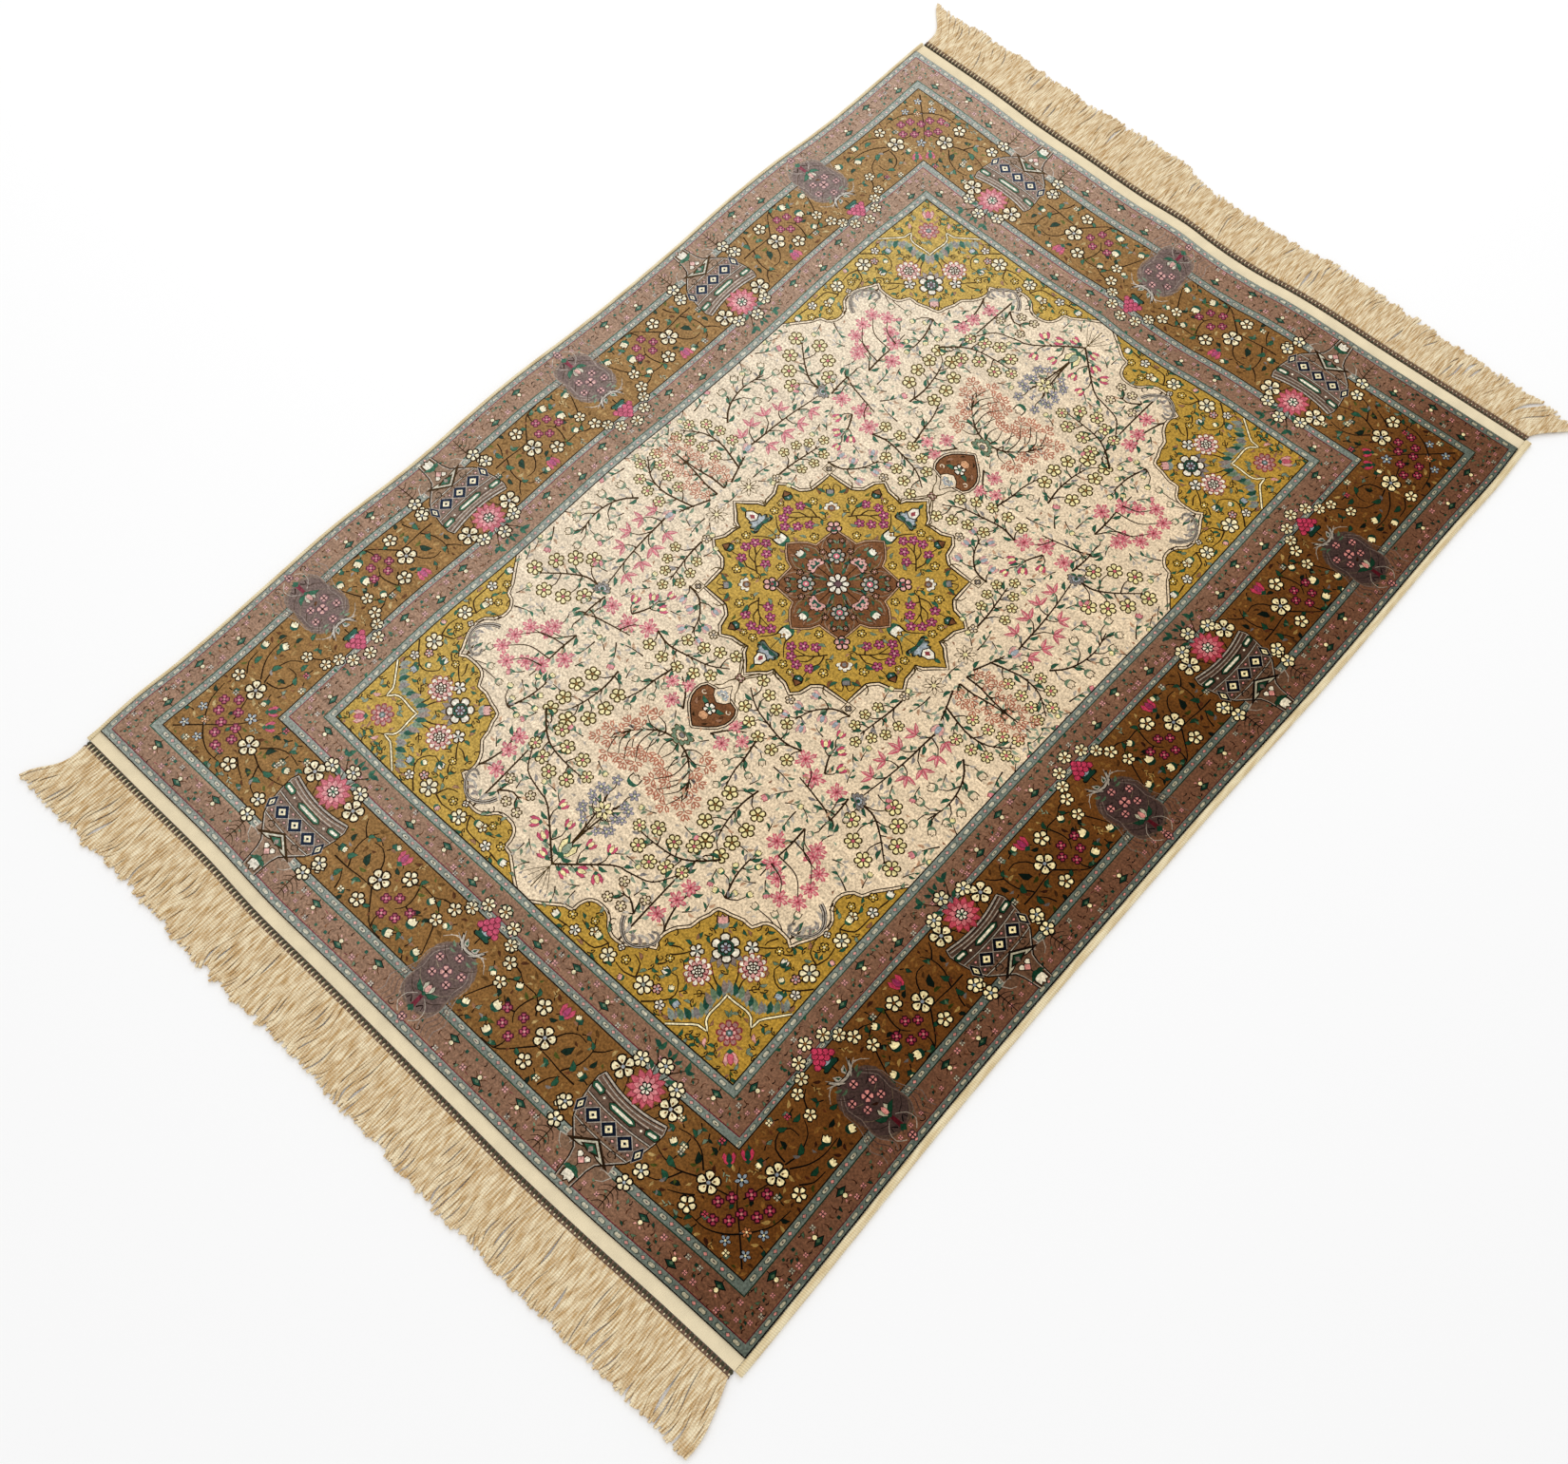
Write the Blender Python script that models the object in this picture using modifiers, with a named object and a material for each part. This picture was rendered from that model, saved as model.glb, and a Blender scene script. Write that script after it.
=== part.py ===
"""A hand-knotted persian rug with a fringe at both ends, lying flat on the floor.

The origin is the middle of the pile rectangle, on the floor. +Y runs along the rug from
the near end to the far end, +X across it and +Z up. Sizes are in metres.
"""

import bmesh
import bpy
import numpy as np

MM = 0.001

# The pile rectangle, before its edges wander.
PILE_WIDTH = 1.000
PILE_LENGTH = 1.452

# Heights above the floor.
FOUNDATION_THICKNESS = 2.0 * MM
PILE_TOP = 5.0 * MM
PILE_EDGE_ROUND = 1.0 * MM

# Flat woven band beyond the pile at each end.
NEAR_KILIM = 15.0 * MM
FAR_KILIM = 17.0 * MM

# Overcast cords along the two long sides.
LEFT_SELVEDGE_WIDTH = 5.0 * MM
RIGHT_SELVEDGE_WIDTH = 9.2 * MM
SELVEDGE_HEIGHT = 4.5 * MM
SELVEDGE_END_SCALE = 0.62

# Twined heading that the fringe hangs from.
HEADING_DEPTH = 11.5 * MM
HEADING_INSET = 2.0 * MM
HEADING_EDGE = 2.0 * MM
HEADING_RIDGE = 3.5 * MM
HEADING_GROOVE = 2.6 * MM

# Fringe locks, each a bundle of warp ends.
LOCKS_PER_END = 148
LOCK_WIDTH = 4.4 * MM
LOCK_HEIGHT = 3.0 * MM
LOCK_TIP_SCALE = 0.66
LOCK_ROOT_DEPTH = 4.0 * MM
LOCK_STATIONS = (0.36, 0.70, 1.0)
LENGTH_JITTER = 2.6 * MM
TIP_JITTER = 1.3 * MM
FRINGE_SEED = 41

# Touching pieces keep this gap, and outlines take a point this often.
GAP = 0.3 * MM
OUTLINE_STEP = 52 * MM

# How far each edge of the pile wanders outward, in mm, at a distance in mm along the
# edge from the near end or from the left side. Columns: along, outward.
LEFT_EDGE = (
    (0, 0.0),
    (50, 2.5),
    (115, 0.5),
    (260, 4.5),
    (350, 8.0),
    (480, 4.0),
    (660, 7.0),
    (780, 1.5),
    (950, 1.0),
    (1080, 5.5),
    (1150, 4.5),
    (1240, -1.5),
    (1452, 0.0),
)
RIGHT_EDGE = (
    (0, 0.0),
    (100, -2.0),
    (300, -7.5),
    (650, -8.0),
    (800, -6.5),
    (980, -1.5),
    (1300, -0.7),
    (1400, 1.0),
    (1452, -1.0),
)
NEAR_EDGE = (
    (0, -0.5),
    (100, 0.5),
    (200, 1.0),
    (300, 5.5),
    (400, 5.5),
    (600, 7.5),
    (720, 8.5),
    (790, 7.0),
    (900, 2.5),
    (1000, 0.0),
)
FAR_EDGE = (
    (0, 0.0),
    (130, -3.0),
    (220, -9.0),
    (300, -10.0),
    (400, -12.5),
    (480, -10.0),
    (520, -13.5),
    (600, -13.0),
    (640, -8.5),
    (800, -5.0),
    (1000, -1.0),
)

# How the fringe lies, in mm, at a distance in mm from the left side. Columns: across,
# reach beyond the heading, sideways lean of the tip, sideways sway of the middle.
NEAR_FRINGE = (
    (0, 67, -25, -1.0),
    (60, 68, -9, 1.0),
    (150, 68, -5, 3.0),
    (300, 68, -4, -2.0),
    (500, 66, -2, 2.0),
    (700, 70, 1, -2.0),
    (850, 72, 5, 1.0),
    (940, 74, 8, 3.0),
    (1000, 78, 19, 5.0),
)
FAR_FRINGE = (
    (0, 62, -40, 0.0),
    (60, 64, -26, 0.0),
    (170, 68, -14, -2.0),
    (300, 71, -4, -5.0),
    (420, 73, -2, -5.0),
    (460, 61, -2, -5.0),
    (560, 64, 0, -5.0),
    (700, 63, 3, -4.0),
    (850, 57, 12, -2.0),
    (940, 54, 25, 0.0),
    (1000, 51, 42, 0.0),
)


def clear_scene():
    for obj in list(bpy.data.objects):
        bpy.data.objects.remove(obj)


def new_collection(name):
    collection = bpy.data.collections.new(name)
    bpy.context.scene.collection.children.link(collection)
    return collection


def new_material(name, colour, roughness):
    material = bpy.data.materials.new(name)
    material.use_nodes = True
    shader = material.node_tree.nodes["Principled BSDF"]
    shader.inputs["Base Color"].default_value = (*colour, 1.0)
    shader.inputs["Roughness"].default_value = roughness
    shader.inputs["Metallic"].default_value = 0.0
    return material


def smooth_column(rows, column, at):
    """Reads one column of a table, in metres, as a smooth curve through its rows."""
    table = np.array(rows, dtype=float) * MM
    places = table[:, 0]
    values = table[:, column]
    slopes = np.gradient(values, places)
    span = int(np.clip(np.searchsorted(places, at) - 1, 0, len(places) - 2))
    width = places[span + 1] - places[span]
    t = float(np.clip((at - places[span]) / width, 0.0, 1.0))
    rise = t * t * (3.0 - 2.0 * t)
    leave = t * (1.0 - t) ** 2 * width * slopes[span]
    arrive = t * t * (t - 1.0) * width * slopes[span + 1]
    return float(values[span] * (1.0 - rise) + values[span + 1] * rise + leave + arrive)


def side_x(rows, side, y, outward=0.0):
    """X of a long side's pile edge at Y. side is -1 on the left and +1 on the right."""
    wander = smooth_column(rows, 1, y + PILE_LENGTH / 2)
    return side * (PILE_WIDTH / 2 + wander + outward)


def end_y(rows, side, x, outward=0.0):
    """Y of an end's pile edge at X. side is -1 at the near end and +1 at the far end."""
    wander = smooth_column(rows, 1, x + PILE_WIDTH / 2)
    return side * (PILE_LENGTH / 2 + wander + outward)


def spaced(start, stop, step):
    count = max(2, round(abs(stop - start) / step) + 1)
    return [float(value) for value in np.linspace(start, stop, count)]


# Every piece bends at these places, so that neighbours stay parallel.
SIDE_STATIONS = spaced(-PILE_LENGTH / 2, PILE_LENGTH / 2, OUTLINE_STEP)
END_STATIONS = spaced(-PILE_WIDTH / 2, PILE_WIDTH / 2, OUTLINE_STEP)


def rug_outline(near_extra, far_extra):
    """The rug's outline, anticlockwise, with its ends moved outward by the extras."""
    along = SIDE_STATIONS if near_extra > 0.0 else SIDE_STATIONS[1:-1]
    near = [(x, end_y(NEAR_EDGE, -1, x, near_extra)) for x in END_STATIONS]
    far = [(x, end_y(FAR_EDGE, 1, x, far_extra)) for x in reversed(END_STATIONS)]
    near[0] = (side_x(LEFT_EDGE, -1, near[0][1]), near[0][1])
    near[-1] = (side_x(RIGHT_EDGE, 1, near[-1][1]), near[-1][1])
    far[0] = (side_x(RIGHT_EDGE, 1, far[0][1]), far[0][1])
    far[-1] = (side_x(LEFT_EDGE, -1, far[-1][1]), far[-1][1])
    right = [(side_x(RIGHT_EDGE, 1, y), y) for y in along]
    left = [(side_x(LEFT_EDGE, -1, y), y) for y in reversed(along)]
    return near + right + far + left


def add_spline(curve, points, closed=False, radii=None):
    spline = curve.splines.new("POLY")
    spline.points.add(len(points) - 1)
    for index, point in enumerate(points):
        spline.points[index].co = (*point, 1.0)
        if radii:
            spline.points[index].radius = radii[index]
    spline.use_cyclic_u = closed
    return spline


def curve_object(name, curve, collection):
    obj = bpy.data.objects.new(name, curve)
    collection.objects.link(obj)
    return obj


def as_mesh_object(obj, collection):
    """Turns a curve object into a mesh object of the same name, with its caps welded."""
    bpy.context.view_layer.update()
    graph = bpy.context.evaluated_depsgraph_get()
    mesh = bpy.data.meshes.new_from_object(obj.evaluated_get(graph))
    shape = bmesh.new()
    shape.from_mesh(mesh)
    bmesh.ops.remove_doubles(shape, verts=shape.verts, dist=0.00001)
    bmesh.ops.recalc_face_normals(shape, faces=shape.faces)
    shape.to_mesh(mesh)
    shape.free()
    name = obj.name
    place = obj.matrix_world.copy()
    bpy.data.objects.remove(obj)
    solid = bpy.data.objects.new(name, mesh)
    solid.matrix_world = place
    collection.objects.link(solid)
    return solid


def outline_slab(name, outline, low, high, collection):
    """A slab of the given outline from one height to another."""
    curve = bpy.data.curves.new(name, "CURVE")
    curve.dimensions = "2D"
    curve.fill_mode = "BOTH"
    curve.extrude = (high - low) / 2
    add_spline(curve, [(x, y, 0.0) for x, y in outline], closed=True)
    obj = curve_object(name, curve, collection)
    obj.location.z = (low + high) / 2
    return as_mesh_object(obj, collection)


def profile_curve(name, section, cutters):
    """A closed cross-section, across and up, hidden as a guide for swept pieces."""
    curve = bpy.data.curves.new(name, "CURVE")
    curve.dimensions = "2D"
    add_spline(curve, [(across, up, 0.0) for across, up in section], closed=True)
    obj = curve_object(name, curve, cutters)
    obj.hide_render = True
    obj.display_type = "WIRE"
    return obj


def swept_curve(name, profile, collection):
    """An empty curve object that sweeps the profile upright along its splines."""
    curve = bpy.data.curves.new(name, "CURVE")
    curve.dimensions = "3D"
    curve.twist_mode = "Z_UP"
    curve.bevel_mode = "OBJECT"
    curve.bevel_object = profile
    curve.use_fill_caps = True
    return curve_object(name, curve, collection)


def unite(body, other, name):
    union = body.modifiers.new(name, "BOOLEAN")
    union.operation = "UNION"
    union.solver = "EXACT"
    union.object = other
    other.hide_render = True
    other.display_type = "WIRE"


def make_rug(parts, cutters, material):
    """The woven sheet: a thin foundation with flat ends, and the pile standing on it."""
    whole = rug_outline(NEAR_KILIM, FAR_KILIM)
    foundation = outline_slab("woven_rug", whole, 0.0, FOUNDATION_THICKNESS, parts)
    pile = outline_slab("pile", rug_outline(0.0, 0.0), FOUNDATION_THICKNESS / 2, PILE_TOP, cutters)
    rounding = pile.modifiers.new("worn pile edge", "BEVEL")
    rounding.width = PILE_EDGE_ROUND
    rounding.segments = 1
    rounding.limit_method = "ANGLE"
    unite(foundation, pile, "pile on foundation")
    foundation.data.materials.append(material)


def make_selvedge(name, rows, side, width, parts, cutters, material):
    """The overcasting beside one long side, flat under and rounded on top."""
    half = width / 2
    section = (
        (-half, 0.0),
        (half, 0.0),
        (half, 0.45 * SELVEDGE_HEIGHT),
        (0.78 * half, 0.80 * SELVEDGE_HEIGHT),
        (0.35 * half, SELVEDGE_HEIGHT),
        (-0.35 * half, SELVEDGE_HEIGHT),
        (-0.78 * half, 0.80 * SELVEDGE_HEIGHT),
        (-half, 0.45 * SELVEDGE_HEIGHT),
    )
    profile = profile_curve(f"{name} section", section, cutters)
    edge_x = side * PILE_WIDTH / 2
    start_y = end_y(NEAR_EDGE, -1, edge_x, NEAR_KILIM)
    stop_y = end_y(FAR_EDGE, 1, edge_x, FAR_KILIM)
    along = [start_y, start_y + half, *SIDE_STATIONS, stop_y - half, stop_y]
    path = [(side_x(rows, side, y, GAP + half), y, 0.0) for y in along]
    radii = [SELVEDGE_END_SCALE, *[1.0] * (len(path) - 2), SELVEDGE_END_SCALE]
    selvedge = swept_curve(name, profile, parts)
    add_spline(selvedge.data, path, radii=radii)
    selvedge = as_mesh_object(selvedge, parts)
    selvedge.data.materials.append(material)


def lock_path(rows, edge_rows, side, kilim, root_x, draw):
    """The floor line of one fringe lock, from inside the heading to its tip."""
    across = root_x + PILE_WIDTH / 2
    reach = smooth_column(rows, 1, across) + draw.uniform(-LENGTH_JITTER, LENGTH_JITTER)
    lean = smooth_column(rows, 2, across) + draw.uniform(-TIP_JITTER, TIP_JITTER)
    sway = smooth_column(rows, 3, across)
    heading_y = end_y(edge_rows, side, root_x, kilim + GAP + HEADING_DEPTH)
    points = [(root_x, heading_y - side * LOCK_ROOT_DEPTH, 0.0)]
    for station in LOCK_STATIONS:
        bulge = sway * 4.0 * station * (1.0 - station)
        points.append((root_x + lean * station + bulge, heading_y + side * reach * station, 0.0))
    return points


def make_fringe(name, rows, edge_rows, side, kilim, parts, cutters, material):
    """One end's twined heading with its row of locks fused into it."""
    depth = HEADING_DEPTH / 2
    heading_section = (
        (-depth, 0.0),
        (depth, 0.0),
        (depth, HEADING_EDGE),
        (0.72 * depth, HEADING_RIDGE),
        (0.28 * depth, HEADING_RIDGE),
        (0.0, HEADING_GROOVE),
        (-0.28 * depth, HEADING_RIDGE),
        (-0.72 * depth, HEADING_RIDGE),
        (-depth, HEADING_EDGE),
    )
    half_width = LOCK_WIDTH / 2
    lock_section = (
        (-half_width, 0.0),
        (half_width, 0.0),
        (0.55 * half_width, LOCK_HEIGHT),
        (-0.55 * half_width, LOCK_HEIGHT),
    )
    end_x = PILE_WIDTH / 2 - HEADING_INSET
    heading_profile = profile_curve(f"{name} heading section", heading_section, cutters)
    heading = swept_curve(name, heading_profile, parts)
    centre = kilim + GAP + depth
    across = [-end_x, *END_STATIONS[1:-1], end_x]
    add_spline(heading.data, [(x, end_y(edge_rows, side, x, centre), 0.0) for x in across])
    heading = as_mesh_object(heading, parts)

    draw = np.random.default_rng(FRINGE_SEED + side)
    lock_profile = profile_curve(f"{name} lock section", lock_section, cutters)
    locks = swept_curve(f"{name} locks", lock_profile, cutters)
    first_x = -end_x + LOCK_WIDTH * 0.6
    for root_x in np.linspace(first_x, -first_x, LOCKS_PER_END):
        path = lock_path(rows, edge_rows, side, kilim, float(root_x), draw)
        radii = [1.0] + [1.0 + (LOCK_TIP_SCALE - 1.0) * station for station in LOCK_STATIONS]
        add_spline(locks.data, path, radii=radii)
    locks = as_mesh_object(locks, cutters)
    unite(heading, locks, "locks in heading")
    heading.data.materials.append(material)


def main():
    clear_scene()
    parts = new_collection("persian_rug")
    cutters = new_collection("persian_rug_helpers")
    silk_pile = new_material("silk_pile", (0.42, 0.30, 0.16), 0.55)
    selvedge_silk = new_material("selvedge_silk", (0.72, 0.60, 0.38), 0.60)
    fringe_silk = new_material("fringe_silk", (0.80, 0.68, 0.45), 0.50)
    make_rug(parts, cutters, silk_pile)
    make_selvedge("selvedge_left", LEFT_EDGE, -1, LEFT_SELVEDGE_WIDTH, parts, cutters, selvedge_silk)
    make_selvedge("selvedge_right", RIGHT_EDGE, 1, RIGHT_SELVEDGE_WIDTH, parts, cutters, selvedge_silk)
    make_fringe("fringe_near", NEAR_FRINGE, NEAR_EDGE, -1, NEAR_KILIM, parts, cutters, fringe_silk)
    make_fringe("fringe_far", FAR_FRINGE, FAR_EDGE, 1, FAR_KILIM, parts, cutters, fringe_silk)


main()
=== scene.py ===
import math

import bmesh
import bpy
import numpy as np
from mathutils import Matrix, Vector
from mathutils.geometry import delaunay_2d_cdt


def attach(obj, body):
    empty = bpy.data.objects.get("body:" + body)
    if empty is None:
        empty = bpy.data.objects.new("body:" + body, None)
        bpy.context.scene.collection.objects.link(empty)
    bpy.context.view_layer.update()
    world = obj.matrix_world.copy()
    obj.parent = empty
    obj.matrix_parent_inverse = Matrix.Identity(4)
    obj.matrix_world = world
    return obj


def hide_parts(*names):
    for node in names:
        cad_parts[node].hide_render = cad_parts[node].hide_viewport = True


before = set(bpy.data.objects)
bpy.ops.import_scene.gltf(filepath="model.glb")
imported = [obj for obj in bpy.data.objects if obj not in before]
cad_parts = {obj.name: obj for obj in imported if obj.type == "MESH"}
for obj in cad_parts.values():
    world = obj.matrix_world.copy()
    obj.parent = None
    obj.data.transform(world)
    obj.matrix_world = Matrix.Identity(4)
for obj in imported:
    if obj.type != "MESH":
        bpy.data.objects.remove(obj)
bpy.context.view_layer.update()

mm = 0.001

# The rug's own sizes in millimetres; the edges wander outward as the tables say.
rug = {
    "width": 1000.0, "length": 1452.0,
    "foundationTop": 2.0, "pileFoot": 1.5, "pileTop": 4.9, "edgeRound": 1.1,
    "nearKilim": 15.0, "farKilim": 17.0, "gap": 0.3,
    "leftEdge": ((0, 0.0), (50, 2.5), (115, 0.5), (260, 4.5), (350, 8.0), (480, 4.0), (660, 7.0),
                 (780, 1.5), (950, 1.0), (1080, 5.5), (1150, 4.5), (1240, -1.5), (1452, 0.0)),
    "rightEdge": ((0, 0.0), (100, -2.0), (300, -7.5), (650, -8.0), (800, -6.5), (980, -1.5),
                  (1300, -0.7), (1400, 1.0), (1452, -1.0)),
    "nearEdge": ((0, -0.5), (100, 0.5), (200, 1.0), (300, 5.5), (400, 5.5), (600, 7.5), (720, 8.5),
                 (790, 7.0), (900, 2.5), (1000, 0.0)),
    "farEdge": ((0, 0.0), (130, -3.0), (220, -9.0), (300, -10.0), (400, -12.5), (480, -10.0),
                (520, -13.5), (600, -13.0), (640, -8.5), (800, -5.0), (1000, -1.0)),
}

# The dyer's card: every silk in the pile.
dyeCard = {"ivory": "E4CDAC", "cream": "F0E2B8", "white": "E8DEC8", "pearl": "BDB6A0", "gold": "B08A38",
           "goldLight": "CCA84A", "camel": "80592E", "umber": "4A2A16", "rust": "6C4226",
           "rose": "8A6852", "slate": "7F867C", "slateDeep": "505C54", "teal": "20493A",
           "leaf": "28543E", "leafDark": "16291F", "sage": "64785E", "greyGreen": "707E6A",
           "moss": "4A4E1E", "olive": "3C2C0C", "bark": "2A1A0A", "ink": "160B04", "fern": "8A9880",
           "mist": "AEA496", "biscuit": "B48C6C", "twig": "AE925E", "coral": "C25E6A",
           "coralLight": "D6888A", "pink": "C24C66", "berryPink": "AC4C62", "magenta": "A44468",
           "blush": "D49C92", "mauvePink": "A27870", "rustPink": "86363A", "crimson": "6A2430",
           "wine": "4C1A26", "plum": "5A4044", "mauve": "86766C", "dusk": "6E5A4E",
           "duskLight": "82725F", "taupe": "6A5446", "taupeDark": "362822", "clusterShade": "62504A",
           "clay": "8C6248", "peach": "C48C62", "lemon": "EBDB9E", "ice": "9CA4A8", "lilac": "9A8E98",
           "tan": "96703E", "earth": "5A3C1C", "russet": "A8644C", "vaseBody": "80644F",
           "grey": "7A7470", "night": "101828"}

# Where each woven band starts, from the side and from the end, and its ground dye.
bandTable = (
    (0.0, 0.0, "ink"), (1.2, 1.2, "slate"), (8.3, 10.3, "crimson"), (9.3, 11.5, "rose"),
    (38.0, 42.3, "teal"), (39.3, 43.6, "slate"), (48.0, 53.0, "ink"), (49.4, 54.4, "camel"),
    (137.0, 147.5, "ink"), (138.4, 149.0, "slate"), (145.3, 157.7, "crimson"), (146.3, 159.0, "rose"),
    (175.5, 184.5, "teal"), (176.7, 185.8, "slate"), (185.8, 194.3, "ink"), (187.3, 196.0, "ivory"),
)
bandName = {"edgeGuard": 1, "outerMinor": 3, "outerGuard": 5, "main": 7, "innerGuard": 9,
            "innerMinor": 11, "fieldGuard": 13, "field": 15}
sideLines = np.array([row[0] for row in bandTable])
endLines = np.array([row[1] for row in bandTable])


def linear(code, alpha=1.0):
    parts = [int(code[k:k + 2], 16) / 255 for k in (0, 2, 4)]
    return (*[c / 12.92 if c <= 0.04045 else ((c + 0.055) / 1.055) ** 2.4 for c in parts], alpha)


def smoothTable(rows, at):
    # a table of (along, outward...) read as smooth curves, one column each
    table = np.array(rows, float)
    at = np.clip(np.asarray(at, float), table[0, 0], table[-1, 0])
    places = table[:, 0]
    span = np.clip(np.searchsorted(places, at) - 1, 0, len(places) - 2)
    wide = places[span + 1] - places[span]
    t = (at - places[span]) / wide
    rise = t * t * (3 - 2 * t)
    columns = []
    for column in range(1, table.shape[1]):
        value = table[:, column]
        slope = np.gradient(value, places)
        columns.append(value[span] * (1 - rise) + value[span + 1] * rise
                       + t * (1 - t) ** 2 * wide * slope[span] + t * t * (t - 1) * wide * slope[span + 1])
    return columns


def wander(edge, at):
    return smoothTable(rug[edge], at)[0]


def warpCartoon(u, v):
    # the square cartoon laid into the rug's wandering outline, in the row's metres
    across = u / rug["width"]
    along = v / rug["length"]
    x = u - (1 - across) * wander("leftEdge", v) + across * wander("rightEdge", v)
    y = v - (1 - along) * wander("nearEdge", u) + along * wander("farEdge", u)
    return (x - rug["width"] / 2) * mm, (y - rug["length"] / 2) * mm


# The cartoon: patches of dye laid one over another on a quarter of the rug.
cartoon = {"points": [], "patches": [], "dyes": [], "bands": [], "medallion": 0, "corner": 0,
           "drawn": np.zeros((260, 372), bool)}
loom = {"band": None, "turned": False}
halfWide = rug["width"] / 2
halfLong = rug["length"] / 2
dyeNames = list(dyeCard)


def onSide(band=None):
    loom.update(band=bandName.get(band), turned=True)


def onEnd(band=None):
    loom.update(band=bandName.get(band), turned=False)


def seat(along, depth):
    # a place in the end border, moved to the matching place in the side border when that is woven
    if not loom["turned"]:
        return complex(along, depth)
    return complex(along, float(np.interp(depth, endLines, sideLines)))


def patch(outline, dye):
    outline = np.asarray(outline, complex)
    if loom["turned"]:
        outline = outline.imag + 1j * outline.real
    if outline.real.min() > halfWide or outline.imag.min() > halfLong:
        return
    following = np.roll(outline, -1)
    area = float((outline.real * following.imag - outline.imag * following.real).sum()) / 2
    if abs(area) < 0.02:
        return
    if area < 0:
        outline = outline[::-1]
    markDrawn(outline)
    first = len(cartoon["points"])
    cartoon["points"] += [Vector((p.real, p.imag)) for p in outline]
    cartoon["patches"].append(list(range(first, first + len(outline))))
    cartoon["dyes"].append(dyeNames.index(dye))
    cartoon["bands"].append(loom["band"])


def aim(turn):
    return complex(math.cos(math.radians(turn)), math.sin(math.radians(turn)))


def ring(count, start=0.0):
    return np.exp(1j * (math.radians(start) + 2 * math.pi * np.arange(count) / count))


def rectangle(low, high, dye):
    patch([low, complex(high.real, low.imag), high, complex(low.real, high.imag)], dye)


def weaveBands():
    loom.update(band=None, turned=False)
    for side, end, dye in bandTable:
        rectangle(complex(side, end), complex(halfWide, halfLong), dye)


def tableOfKnots():
    # plain points that keep the triangles even where nothing is drawn
    step = 16.0
    across = np.arange(step / 2, halfWide, step)
    along = np.arange(step / 2, halfLong, step)
    knots = [(x, y) for x in across for y in along]
    for side, end, _ in bandTable:
        knots += [(side, y) for y in along if y > end] + [(x, end) for x in across if x > side]
    knots += [(halfWide, y) for y in along] + [(x, halfLong) for x in across]
    return [Vector((float(x), float(y))) for x, y in knots]


def cutCartoon():
    # one flat triangulation of every patch; each triangle takes the dye of the last patch laid there
    points = cartoon["points"] + tableOfKnots()
    made = delaunay_2d_cdt(points, [], cartoon["patches"], 1, 0.01)
    flat = np.array([(p.x, p.y) for p in made[0]])
    faces = np.array([face for face in made[2] if len(face) == 3])
    owners = [own for face, own in zip(made[2], made[5]) if len(face) == 3]
    middle = flat[faces].mean(axis=1)
    inside = (middle[:, 0] < halfWide) & (middle[:, 1] < halfLong)
    band = np.minimum(np.searchsorted(sideLines, middle[:, 0]), np.searchsorted(endLines, middle[:, 1])) - 1
    dyes = np.zeros(len(faces), int)
    places = np.array([complex(p.x, p.y) for p in cartoon["points"]])
    boxes = [(places[own].real.min(), places[own].real.max(), places[own].imag.min(),
              places[own].imag.max())
             for own in cartoon["patches"]]
    for index in np.nonzero(inside)[0]:
        here = band[index]
        x, y = middle[index]
        owners[index] = [k for k in owners[index]
                         if boxes[k][0] <= x <= boxes[k][1] and boxes[k][2] <= y <= boxes[k][3]]
        kept = [k for k in owners[index] if cartoon["bands"][k] is None or cartoon["bands"][k] == here]
        dyes[index] = cartoon["dyes"][max(kept)] if kept else 0
        if cartoon["medallion"] in owners[index]:
            band[index] = len(bandTable)
        elif cartoon["corner"] in owners[index] and here == bandName["field"]:
            band[index] = len(bandTable) + 1
        elif here >= 14 and y > 470:
            band[index] = len(bandTable) + 2
    return flat, faces[inside], dyes[inside], band[inside]


def unfoldQuarter(flat, faces, dyes, band):
    # the quarter mirrored over both middle lines, with its shared points joined
    wholeFlat, wholeFaces = [], []
    for flipAcross in (False, True):
        for flipAlong in (False, True):
            copy = flat.copy()
            if flipAcross:
                copy[:, 0] = rug["width"] - copy[:, 0]
            if flipAlong:
                copy[:, 1] = rug["length"] - copy[:, 1]
            turned = faces[:, ::-1] if flipAcross != flipAlong else faces
            wholeFaces.append(turned + len(flat) * len(wholeFlat))
            wholeFlat.append(copy)
    wholeFlat = np.concatenate(wholeFlat)
    key = np.round(wholeFlat * 200).astype(np.int64)
    _, first, back = np.unique(key, axis=0, return_index=True, return_inverse=True)
    back = back.reshape(-1)
    wholeFaces = back[np.concatenate(wholeFaces)]
    whole = (wholeFaces[:, 0] != wholeFaces[:, 1]) & (wholeFaces[:, 1] != wholeFaces[:, 2]) \
        & (wholeFaces[:, 0] != wholeFaces[:, 2])
    return wholeFlat[first], wholeFaces[whole], np.tile(dyes, 4)[whole], np.tile(band, 4)[whole]


def linkMesh(name, mesh, materials):
    obj = bpy.data.objects.new(name, mesh)
    bpy.context.scene.collection.objects.link(obj)
    for material in materials:
        mesh.materials.append(material)
    return obj


def pileHeight(flat):
    # level, with a worn rounded edge
    edge = np.minimum.reduce([flat[:, 0], rug["width"] - flat[:, 0], flat[:, 1],
                              rug["length"] - flat[:, 1]])
    return rug["pileTop"] - rug["edgeRound"] * np.clip(1 - edge / 1.2, 0, 1) ** 2


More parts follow.
